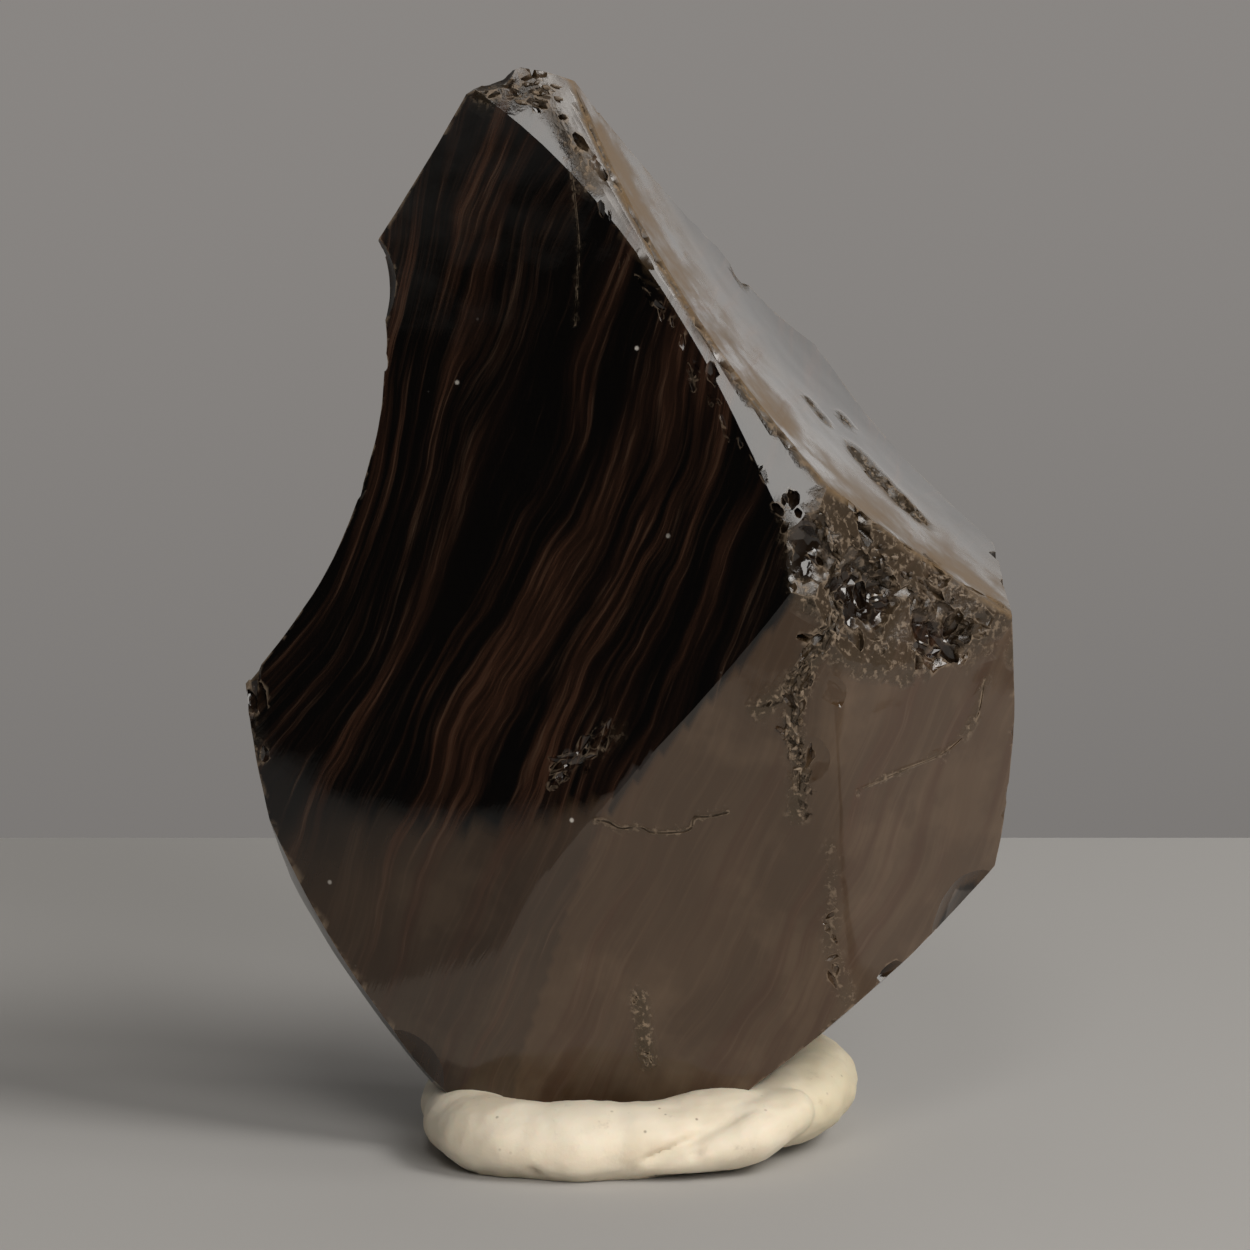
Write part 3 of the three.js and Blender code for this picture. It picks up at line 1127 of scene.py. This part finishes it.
# Down the crack of the lower face, under the brow, at the right edge and the tip, along the ridge, and
# at a few small knocks.
SPALLS: tuple[Spall, ...] = (
    Spall(
        ((21, -24, 76), (23.5, -23, 70), (23, -24.5, 64), (20, -25, 61)),
        46, 0.9, (0.25, 0.8), (0.12, 0.45), (1.6, 5.0),
    ),
    Spall(
        ((20, -25, 61), (17.8, -23.5, 53), (18.8, -22.5, 47), (18.5, -21.5, 42)),
        42, 0.6, (0.25, 0.7), (0.12, 0.4), (1.6, 5.0),
    ),
    Spall(((21, -24.7, 61), (17, -23.5, 56), (14, -23, 54)), 12, 0.5, (0.2, 0.5), (0.1, 0.3), (2.0, 5.0)),
    Spall(
        ((16.5, -24, 78), (18, -25.5, 72), (19.5, -25.5, 66)),
        14, 0.7, (0.3, 0.9), (0.1, 0.35), (1.5, 4.0),
    ),
    Spall(((25, -20, 72), (31, -16, 67), (39, -12, 62)), 44, 2.6, (0.4, 1.4), (0.15, 0.6), crush=0.6),
    Spall(((27, -20, 60.5), (34, -16, 59), (41, -11, 59)), 10, 0.6, (0.3, 0.8), (0.12, 0.3), crush=0.5),
    Spall(((41.5, -9, 64), (43, -7, 61), (43.5, -8, 58)), 12, 0.8, (0.3, 0.9), (0.1, 0.3)),
    Spall(
        ((-16.5, -5, 121.5), (-12, -6.5, 121.8), (-8, -6.5, 121.5)),
        24, 1.2, (0.25, 0.8), (0.06, 0.25),
        crush=0.6,
    ),
    Spall(
        ((-9, -7.5, 120), (-6, -8, 115.5), (-4.5, -9, 112)),
        10, 1.0, (0.3, 0.9), (0.05, 0.2), (1.5, 4.0), 0.85,
    ),
    Spall(
        ((-3.2, -9.2, 109.5), (0.5, -13, 101), (4.8, -17, 93), (9, -20.5, 86), (15, -24, 79)),
        34, 0.35, (0.2, 0.6), (0.04, 0.14), (2.0, 6.0), 0.0,
    ),
    Spall(((-44.3, -4, 55), (-44, -4.5, 50), (-43.2, -5, 45.5)), 9, 0.7, (0.4, 1.2), (0.1, 0.35), crush=0.4),
    Spall(
        ((-9, -18, 45), (-6, -18.5, 48), (-2, -19.5, 51)),
        22, 0.6, (0.3, 0.8), (0.1, 0.35), (1.5, 4.0), 0.7,
    ),
    Spall(((1.0, -15.3, 20), (1.6, -14.2, 13.5), (2, -14, 12)), 8, 0.35, (0.15, 0.4), (0.06, 0.18)),
    Spall(
        ((24.5, -17, 20), (22.5, -19, 26), (22.5, -21.5, 38)),
        10, 0.5, (0.2, 0.6), (0.06, 0.2), (1.5, 4.0), 0.5,
    ),
)

# Crumbs of crushed glass that still cling to the ridge.
CRUMBS: tuple[Spall, ...] = (
    Spall(
        ((22, -23.5, 75), (23.7, -23, 70), (23, -24.5, 64), (21, -25, 61)),
        60, 0.5, (0.12, 0.32), (0.05, 0.2), (1.5, 4.5),
    ),
    Spall(
        ((20, -25, 61), (17.8, -23.5, 53), (18.6, -22.5, 47)),
        40, 0.7, (0.12, 0.3), (0.05, 0.2), (1.5, 4.5),
    ),
    Spall(((27, -19, 71), (33, -15, 66.5), (37, -13, 64)), 30, 1.3, (0.12, 0.35), (0.05, 0.2)),
    Spall(((-13, -6, 122.5), (-9, -6, 122)), 16, 1.2, (0.12, 0.3), (0.05, 0.2)),
)

SEAM_SLACK = 0.25  # how near both faces a point of their edge lies
SEAM_STRAY = 3.0  # how far it may lie from the straight line between the edge's ends
SEAM_STEP = 4.0  # how far apart in height the corners of the crack behind the ridge are
SEAM_SHIFT: Triple = (0.45, 0.2, 0.3)  # from the edge to the middle of that crack
SEAM_RADIUS = 1.0

RIDGE_LINE: tuple[Triple, ...] = (CORNER["crest_tip"], (8, -14, 96), CORNER["brow"], CORNER["right_horn"])
RIDGE_FOOT = 76.0  # the height over which the ridge is stained
SHEEN_PAINTED_FACES = {"lower_front": 1.0, "lower_right": 1.0, "under_brow": 0.55}  # how strongly they are painted milky, as painted sheen for what these faces reflect
FAINT_CLOUD = 0.12  # how milky the other faces are
FOOT_SHEEN = 0.6  # how strongly the foot of the dark face is painted milky, as painted sheen, below a line that rises to the right
FOOT_LINE_START: tuple[float, float] = (-37.0, 34.0)
FOOT_LINE_SLOPE = 0.42
FOOT_LINE_BLUR = 12.0

# Where crushed dust lies, from all of it to none: round a knocked line, a crack and the crack behind the
# ridge, and in a pit, over its radius.
SPALL_DUST, CRACK_DUST, SEAM_DUST, PIT_DUST = (0.3, 1.2), (0.12, 0.35), (0.95, 1.25), 0.55
SEAM_CRUSH, BROW_CRUSH, PIT_CRUSH = 0.9, 0.55, 0.75
STAIN_REACH, RIDGE_STAIN = (3.0, 27.0), 0.2
HIGHLIGHT_FROM, HIGHLIGHT_FULLY = 0.35, 0.9  # radians: the outward bend from which an edge is painted pale as a highlight


@dataclass
class Chunk:
    """The chunk of obsidian, knapped from a block face by face and then flake by flake."""

    name: str = "obsidian_chunk_glass"
    width: float = 110.0
    depth: float = 80.0
    height: float = 140.0
    cells: int = 124
    edge_flakes: int = 110  # how many tiny splinters the sharp edges have lost
    edge_angle: float = 30.0  # in degrees: how sharp such an edge is
    foot: float = 11.0  # and above which height it lies
    flake_tilt: float = 0.3
    flake_width: tuple[float, float] = (0.4, 1.7)
    flake_sunk: tuple[float, float] = (0.05, 0.3)
    flake_stretch: tuple[float, float] = (1.2, 2.6)
    crease: float = 22.0  # the angle in degrees over which an edge stays sharp
    seed: int = 7
    finish: ObsidianFinish = field(default_factory=ObsidianFinish)

    def block(self) -> bpy.types.Object:
        """Make the rough block.

        Returns:
            The block.
        """
        bm = bmesh.new()
        size = Matrix.Diagonal((self.width, self.depth, self.height, 1.0))
        bmesh.ops.create_cube(bm, size=1.0, matrix=Matrix.Translation((0, 0, self.height / 2)) @ size)
        return new_object(self.name, bm)

    @staticmethod
    def strike(rock: bpy.types.Object, tools: list[bmesh.types.BMesh], rooms: list[Room]) -> None:
        """Cut many small tools away, several at a time where they lie apart.

        Args:
            rock: The chunk.
            tools: The meshes to cut away.
            rooms: The room that each needs.
        """
        left = list(range(len(tools)))
        while left:
            taken: list[int] = []
            for i in left:
                middle, radius = rooms[i]
                if all((middle - rooms[j][0]).length > radius + rooms[j][1] for j in taken):
                    taken.append(i)
            left = [i for i in left if i not in taken]
            carve(rock, new_object("tools", gather([tools[i] for i in taken])))

    def chip(self, rock: bpy.types.Object, flakes: tuple[Flake, ...], detail: int) -> None:
        """Cut flakes away.

        Args:
            rock: The chunk.
            flakes: The flakes.
            detail: How finely their balls are divided.
        """
        self.strike(rock, [flake.ball(detail) for flake in flakes], [flake.room() for flake in flakes])

    @staticmethod
    def knocked(rock: bpy.types.Object, spalls: tuple[Spall, ...], rng: random.Random) -> list[Shard]:
        """Choose the splinters of some knocked lines.

        Args:
            rock: The chunk.
            spalls: The lines.
            rng: The source of chance.

        Returns:
            The splinters.
        """
        bm = copy_of(rock.data)
        tree = BVHTree.FromBMesh(bm)
        bm.free()
        shards = []
        for spall in spalls:
            path = smooth_path(spall.line, 8)
            for _ in range(spall.count):
                step = rng.randrange(len(path) - 1)
                aim = path[step] + scatter(rng, spall.spread)
                spot, normal, _, _ = tree.find_nearest(aim)
                out = normal + scatter(rng, spall.tilt)
                run = (path[step + 1] - path[step]).normalized() + scatter(rng, spall.veer)
                width = rng.uniform(*spall.width)
                sunk = min(rng.uniform(*spall.sunk), width * spall.deepest)
                length = width * rng.uniform(*spall.stretch)
                shards.append(Shard(tuple(spot), tuple(run), tuple(out), length, width, sunk))
        return shards

    def chipped_edges(self, rock: bpy.types.Object, rng: random.Random) -> list[Shard]:
        """Choose tiny splinters along every sharp edge.

        Args:
            rock: The chunk.
            rng: The source of chance.

        Returns:
            The splinters.
        """
        bm = copy_of(rock.data)
        least = math.radians(self.edge_angle)
        sharp = [e for e in bm.edges if e.is_manifold and e.calc_face_angle() > least]
        sharp = [e for e in sharp if min(v.co.z for v in e.verts) > self.foot]
        shards = []
        for edge in rng.choices(sharp, [e.calc_length() for e in sharp], k=self.edge_flakes):
            a, b = (v.co for v in edge.verts)
            out = (edge.link_faces[0].normal + edge.link_faces[1].normal).normalized()
            out += scatter(rng, self.flake_tilt)
            width = rng.uniform(*self.flake_width)
            sunk = min(rng.uniform(*self.flake_sunk), width * 0.5)
            spot = a.lerp(b, rng.random())
            length = width * rng.uniform(*self.flake_stretch)
            shards.append(Shard(tuple(spot), tuple(b - a), tuple(out), length, width, sunk))
        bm.free()
        return shards

    @staticmethod
    def crushed(points: np.ndarray, seam: Crack) -> np.ndarray:
        """Find where the glass is crushed.

        Args:
            points: One row for each point.
            seam: The crack behind the ridge.

        Returns:
            For each point, 0 where it is whole to 1 where it is crushed.
        """
        crushed = np.zeros(len(points))
        for spall in SPALLS:
            near = fade(near_path(points, spall.line), SPALL_DUST[0], SPALL_DUST[1] + spall.spread)
            crushed = np.maximum(crushed, near * spall.crush)
        for crack in CRACKS:
            crushed = np.maximum(crushed, crack.crush * fade(near_path(points, crack.line), *CRACK_DUST))
        crushed = np.maximum(crushed, SEAM_CRUSH * fade(near_path(points, seam.line), *SEAM_DUST))
        crushed = np.maximum(crushed, BROW_CRUSH * FACES["under_brow"].holds(points, 0.8))
        for pit in CREST_PITS:
            apart = np.linalg.norm(points - np.array(pit.at), axis=1)
            crushed = np.maximum(crushed, PIT_CRUSH * fade(apart, PIT_DUST * pit.radius, pit.radius))
        return crushed

    @staticmethod
    def stained(points: np.ndarray) -> np.ndarray:
        """Find where the glass is stained tan.

        Args:
            points: One row for each point.

        Returns:
            For each point, 0 where it is clean to 1 where it is stained.
        """
        tan = fade(near_path(points, RIDGE_LINE), *STAIN_REACH) * FACES["crest"].holds(points, 0.35)
        upper = points[:, 2] > RIDGE_FOOT
        return np.maximum(tan, RIDGE_STAIN * FACES["ridge"].holds(points, 0.5) * upper)

    @staticmethod
    def clouded(points: np.ndarray) -> np.ndarray:
        """Find where the glass is milky, and where its lower faces and the dark face's foot are painted with
        sheen.

        Args:
            points: One row for each point.

        Returns:
            For each point, 0 where it is clear to 1 where it is milky.
        """
        left, height = FOOT_LINE_START
        line = height + FOOT_LINE_SLOPE * (points[:, 0] - left)
        low = np.clip((line - points[:, 2]) / FOOT_LINE_BLUR + 0.5, 0.0, 1.0)
        milk_sheen_mask = np.full(len(points), FAINT_CLOUD)
        for name, strength in SHEEN_PAINTED_FACES.items():
            milk_sheen_mask = np.where(FACES[name].holds(points, 0.8) > 0.0, strength, milk_sheen_mask)
        milk_sheen_mask = np.where(FACES["front"].holds(points, 0.3) > 0.0, 0.0, milk_sheen_mask)
        return np.where(FRONT_FOOT.holds(points, 1.2) > 0.0, FOOT_SHEEN * low, milk_sheen_mask)

    def mask(self, rock: bpy.types.Object) -> None:
        """Mark where the glass is crushed, stained tan and milky, where faces take painted sheen and where
        edges take a painted highlight.

        Args:
            rock: The chunk.
        """
        points = points_of(rock.data)
        seam = self.seam(rock, "ridge", "crest")
        set_mark(rock.data, Mark.CRUSHED, self.crushed(points, seam))
        set_mark(rock.data, Mark.TAN, self.stained(points))
        set_mark(rock.data, Mark.MILK_SHEEN, self.clouded(points))
        set_mark(rock.data, Mark.EDGE_HIGHLIGHT, self.painted_edge_highlights(rock.data))

    @staticmethod
    def painted_edge_highlights(mesh: bpy.types.Mesh) -> np.ndarray:
        """Find the outward edges, where a pale highlight is painted.

        Args:
            mesh: The chunk's mesh.

        Returns:
            For each point, 0 on a smooth face to 1 on a sharp outward edge.
        """
        bm = copy_of(mesh)
        highlight = np.zeros(len(bm.verts))
        for edge in bm.edges:
            sharp = edge.calc_face_angle_signed(0.0)
            if sharp > HIGHLIGHT_FROM:
                for v in edge.verts:
                    highlight[v.index] = max(highlight[v.index], min(sharp / HIGHLIGHT_FULLY, 1.0))
        bm.free()
        return highlight

    @staticmethod
    def seam(rock: bpy.types.Object, first: str, second: str) -> Crack:
        """Lay a crack just behind the edge where two broken faces meet.

        Args:
            rock: The chunk.
            first: One face's name.
            second: The other face's name, the one the crack runs on.

        Returns:
            The crack, from the bottom up.
        """
        points = points_of(rock.data)
        shared = FACES[first].holds(points, SEAM_SLACK) * FACES[second].holds(points, SEAM_SLACK)
        edge = points[shared > 0.0]
        edge = edge[near_path(edge, (CORNER["crest_tip"], CORNER["brow"])) < SEAM_STRAY]
        edge = edge[np.argsort(-edge[:, 2])]
        line = []
        for low in np.arange(edge[-1, 2], edge[0, 2], SEAM_STEP):
            span = edge[(edge[:, 2] >= low) & (edge[:, 2] < low + SEAM_STEP)]
            if len(span):
                line.append(tuple(span.mean(axis=0) + np.array(SEAM_SHIFT)))
        return Crack(tuple(line), SEAM_RADIUS)

    def knap(self) -> bpy.types.Object:
        """Break the chunk's faces, flakes and splinters out of the block.

        Returns:
            The bare chunk.
        """
        rng = random.Random(self.seed)
        rock = self.block()
        for face in FACES.values():
            carve(rock, face.cutter(self.cells))
        self.chip(rock, SCARS + CREST_PITS, 5)
        shards = [*self.chipped_edges(rock, rng), *self.knocked(rock, SPALLS, rng)]
        self.strike(rock, [shard.sliver() for shard in shards], [shard.room() for shard in shards])
        cracks = [*CRACKS, self.seam(rock, "ridge", "crest")]
        self.strike(rock, [crack.groove() for crack in cracks], [crack.room() for crack in cracks])
        return rock

    def dress(self, rock: bpy.types.Object) -> None:
        """Let crumbs cling to the chunk, mark its crushing, stains, milk, painted sheen and painted edge
        highlights, and finish it.

        Args:
            rock: The bare chunk.
        """
        rng = random.Random(self.seed + 1)
        crumbs = gather([shard.sliver() for shard in self.knocked(rock, CRUMBS, rng)])
        crumbs.from_mesh(rock.data)
        crumbs.to_mesh(rock.data)
        crumbs.free()
        self.mask(rock)
        deliver(rock, "obsidian_chunk", self.finish.build(), self.crease)


# ---- The putty ------------------------------------------------------------------------------------

ROLL_SIDES = 24
END_BENDS = (0.5, 0.95, 1.3, 1.53)  # radians: the rings that round the end of a roll
LUMP, LUMP_SCALE = 0.35, 0.11  # how high and how fine the unevenness of the putty is
DIMPLE, DIMPLE_SCALE = 0.09, 0.5
FLAT_BELOW, FLATTENED = 0.35, 0.4  # what lies lower is flattened to this share of its height


@dataclass(frozen=True)
class Roll:
    """A hand-rolled length of putty."""

    line: tuple[Triple, ...]
    radius: float
    tip: float = 0.85  # the radius at its end, of its radius
    squash: float = 0.74
    start: float = 1.0  # the radius where it starts, of its radius
    uneven: float = 0.06  # how far the radius varies

    def solid(self) -> bpy.types.Object:
        """Build the roll, rounded at its ends.

        Returns:
            The roll.
        """
        path = smooth_path(self.line, 8)
        sizes = []
        for i, point in enumerate(path):
            done = i / (len(path) - 1)
            opening = self.start + (1 - self.start) * done * 1.6
            closing = self.tip + (1 - self.tip) * (1 - done) * 4
            taper = min(opening, closing, 1.0)
            sizes.append(self.radius * taper * (1.0 + self.uneven * wander(point, 0.12)))
        back = (path[0] - path[1]).normalized() * sizes[0]
        ahead = (path[-1] - path[-2]).normalized() * sizes[-1]
        first = [(path[0] + back * math.sin(a), sizes[0] * math.cos(a)) for a in reversed(END_BENDS)]
        final = [(path[-1] + ahead * math.sin(a), sizes[-1] * math.cos(a)) for a in END_BENDS]
        stations = [*first, *zip(path, sizes), *final]
        middle, radii = [p for p, _ in stations], [r for _, r in stations]
        return new_object("roll", sweep(middle, radii, ROLL_SIDES, self.squash))


@dataclass(frozen=True)
class Press:
    """A place where the putty is pushed in: a groove along a line, or a dent at a point."""

    line: tuple[Triple, ...]
    width: float
    depth: float

    def sink(self, points: np.ndarray) -> np.ndarray:
        """Give how deep each point is pushed."""
        return self.depth * np.exp(-((near_path(points, self.line) / self.width) ** 2))


ROLLS: tuple[Roll, ...] = (
    Roll(
        (
            (11, -13.5, 4.5), (4, -17, 4), (-4, -18.1, 3.8), (-10.5, -17.9, 3.8), (-16.2, -14.8, 3.8),
            (-18.5, -8, 3.9), (-18.8, 0, 4), (-16.4, 8, 4.2), (-11, 14.6, 4.5), (-3, 17.8, 4.8),
        ),
        5.9,
        1.0,
    ),
    Roll(
        (
            (-3, 17.8, 4.8), (6.5, 18, 5.2), (14.5, 14.8, 5.8), (20, 8.5, 6.3), (20.7, 0.5, 6.2),
            (17.4, -7.5, 5.4), (11, -13.5, 4.5),
        ),
        6.0,
        1.0,
    ),
    Roll(((1.5, -20.8, 1.9), (7.5, -19.4, 3.0), (13, -16.6, 4.4), (17.2, -13.4, 5.8)), 4.6, 0.9, start=0.42),
)

PRESSES: tuple[Press, ...] = (
    Press(((2.1, -23.5, 2.6), (5, -23, 4.2), (9.3, -21.5, 6.2), (14.2, -18.5, 8.5)), 0.55, 1.1),
    Press(((3.5, -23.8, 2.0), (7.5, -22.6, 3.6)), 0.4, 0.5),
    Press(((-10, -24, 0.6), (0, -24, 0.6), (9, -23, 0.6)), 0.9, -0.45),
    Press(((18.5, -12.5, 6.5), (20, -7, 8.5)), 1.6, 0.6),
    Press(((-11, -22.5, 0), (-11, -22, 2.2)), 0.8, 0.7),
    Press(((-2, -22.8, 3), (-1, -22.8, 3.2)), 3.5, 0.35),
    Press(((-8, -22.6, 5), (-7, -22.4, 5.2)), 2.4, 0.3),
    Press(((-17, -18, 4), (-16.5, -18.4, 4)), 2.6, 0.4),
    Press(((-23, -4, 4), (-23, -3, 4)), 3.4, 0.5),
    Press(((-19, 11, 5), (-18, 12, 5)), 3.0, 0.5),
    Press(((0, 23, 5), (1, 23, 5)), 3.6, 0.6),
    Press(((17, 17, 6), (18, 16, 6)), 3.2, 0.5),
    Press(((26, 2, 7), (26, 3, 7)), 2.8, 0.4),
)


@dataclass
class PuttyRing:
    """The ring of putty that the chunk stands in, rolled and pressed by hand."""

    name: str = "putty_ring_clay"
    grain: float = 0.5  # the size of the mesh's cells
    crease: float = 50.0  # the angle in degrees over which an edge stays sharp
    finish: PuttyFinish = field(default_factory=PuttyFinish)

    def build(self, rock: bpy.types.Object) -> bpy.types.Object:
        """Build the ring.

        Args:
            rock: The bare chunk, whose foot is pressed in.

        Returns:
            The finished ring.
        """
        ring = ROLLS[0].solid()
        ring.name = self.name
        for roll in ROLLS[1:]:
            carve(ring, roll.solid(), "UNION")
        skin = ring.modifiers.new("skin", "REMESH")
        skin.mode = "VOXEL"
        skin.voxel_size = self.grain
        smooth = ring.modifiers.new("smooth", "SMOOTH")
        smooth.iterations = 4
        settle(ring)
        self.handle(ring)
        foot = rock.copy()
        foot.data = rock.data.copy()
        bpy.context.scene.collection.objects.link(foot)
        carve(ring, foot)
        deliver(ring, "putty_ring", self.finish.build(), self.crease)
        return ring

    @staticmethod
    def handle(ring: bpy.types.Object) -> None:
        """Press, dent and flatten the ring.

        Args:
            ring: The ring.
        """
        mesh = ring.data
        points = points_of(mesh)
        normals = np.empty(len(points) * 3)
        mesh.vertices.foreach_get("normal", normals)
        normals = normals.reshape(-1, 3)
        push = sum(press.sink(points) for press in PRESSES)
        spots = [Vector(p) for p in points]
        push -= np.array([LUMP * wander(p, LUMP_SCALE) + DIMPLE * wander(p, DIMPLE_SCALE) for p in spots])
        points = points - normals * push[:, None]
        height = points[:, 2]
        points[:, 2] = np.where(height < FLAT_BELOW, np.maximum(height, 0.0) * FLATTENED, height)
        set_points(mesh, points)


# ---- The studio -----------------------------------------------------------------------------------


@dataclass(frozen=True)
class Lamp:
    """A soft box: a flat light of one brightness all over, unseen by the camera."""

    name: str
    at: Triple
    aim: Triple
    size: tuple[float, float]
    glow: float
    tint: Triple = (1.0, 0.97, 0.93)

    def hang(self) -> None:
        """Put the lamp in the scene."""
        data = bpy.data.lights.new(self.name, "AREA")
        data.shape = "RECTANGLE"
        data.size, data.size_y = (side * MM for side in self.size)
        data.energy = math.pi * self.glow * data.size * data.size_y
        data.color = self.tint
        lamp = bpy.data.objects.new(self.name, data)
        lamp.location = Vector(self.at) * MM
        lamp.rotation_euler = (Vector(self.aim) - Vector(self.at)).to_track_quat("-Z", "Y").to_euler()
        lamp.visible_camera = False
        bpy.context.scene.collection.objects.link(lamp)


LAMPS: tuple[Lamp, ...] = (
    Lamp("key_right", (840, -520, 920), (0, 0, 30), (480, 480), 12.0),
    Lamp("front_fill", (392, -840, 474), (0, -10, 40), (400, 400), 7.4),
    Lamp("ridge_strip", (470, -72, 610), (5, -15, 90), (90, 240), 8.0),
    Lamp("edge_strip", (-30, -569, 522), (5, -15, 95), (150, 240), 6.5),
    Lamp("back_right", (210, 420, 170), (20, 0, 85), (420, 170), 0.74, (1.0, 0.98, 0.96)),
    Lamp("low_front", (-2, -85, 1.0), (-2, -85, 100), (124, 116), 0.42, (1.0, 0.84, 0.68)),
    Lamp("low_right", (150, -45, 1.0), (150, -45, 100), (150, 130), 0.45, (1.0, 0.86, 0.74)),
)


@dataclass
class Studio:
    """A pale table under soft boxes, a grey surround and the camera."""

    table_edge: float = 194.0
    table_size: tuple[float, float, float] = (2400.0, 2000.0, 12.0)
    table_round: float = 2.0
    behind: Triple = (0.35, 0.94, 0.0)  # the way to the surround's brightest side
    seen: tuple[Triple, Triple] = ((0.178, 0.17, 0.163), (0.252, 0.238, 0.227))  # from below to level
    cast: tuple[Triple, Triple] = ((0.03, 0.029, 0.028), (0.2, 0.19, 0.18))  # from front to behind
    focus: Triple = (-0.282, -2.035, 60.3)
    distance: float = 600.0
    elevation: float = 8.0
    lens: float = 150.0
    film: float = 36.0
    table: TableFinish = field(default_factory=TableFinish)

    def lay_table(self) -> bpy.types.Object:
        """Make the tabletop.

        Returns:
            The tabletop.
        """
        width, length, thick = self.table_size
        bm = bmesh.new()
        middle = Matrix.Translation((0, self.table_edge - length / 2, -thick / 2))
        bmesh.ops.create_cube(bm, size=1.0, matrix=middle @ Matrix.Diagonal((width, length, thick, 1.0)))
        rims = list(bm.edges)
        round_by = self.table_round
        bmesh.ops.bevel(bm, geom=rims, offset=round_by, affect="EDGES", segments=3, profile=0.5, material=-1)
        top = new_object("table", bm)
        top.data.transform(Matrix.Scale(MM, 4))
        top.data.materials.append(self.table.build())
        return top

    def surround(self) -> None:
        """Set the grey surround. The glass sees it dimmer, and darkest in front."""
        n = NodeBench(bpy.data.worlds.new("surround"))
        bpy.context.scene.world = n.owner
        toward = n.add("ShaderNodeTexCoord", output="Generated")
        height = n.along(toward, (0.0, 0.0, 1.0))
        behind = n.along(toward, self.behind)
        seen = n.blend(height.rise(-0.28, 0.0), *self.seen)
        cast = n.blend(behind.rise(-0.5, 0.6), *self.cast)
        camera = n.add("ShaderNodeLightPath", output="Is Camera Ray")
        light = n.add("ShaderNodeBackground", None, {"Color": n.blend(camera, cast, seen)})
        n.add("ShaderNodeOutputWorld", None, {"Surface": light})

    def place_camera(self) -> None:
        """Aim the camera at the chunk."""
        data = bpy.data.cameras.new("camera")
        data.lens = self.lens
        data.sensor_width = self.film
        data.clip_start = 0.01
        camera = bpy.data.objects.new("camera", data)
        tilt = math.radians(self.elevation)
        back = Vector((0, -math.cos(tilt), math.sin(tilt))) * self.distance
        camera.location = (Vector(self.focus) + back) * MM
        camera.rotation_euler = (math.pi / 2 - tilt, 0, 0)
        bpy.context.scene.collection.objects.link(camera)
        bpy.context.scene.camera = camera

    def build(self) -> None:
        """Set up the table, the lights and the camera."""
        self.lay_table()
        self.surround()
        for lamp in LAMPS:
            lamp.hang()
        self.place_camera()
        bpy.context.scene.view_settings.view_transform = "Standard"


def main() -> None:
    """Build the chunk, the putty and the studio, and note their size."""
    logging.basicConfig(level=logging.INFO, format="%(name)s: %(message)s")
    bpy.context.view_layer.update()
    Studio().build()
    chunk = Chunk()
    rock = chunk.knap()
    PuttyRing().build(rock)
    chunk.dress(rock)


if __name__ == "__main__":
    main()
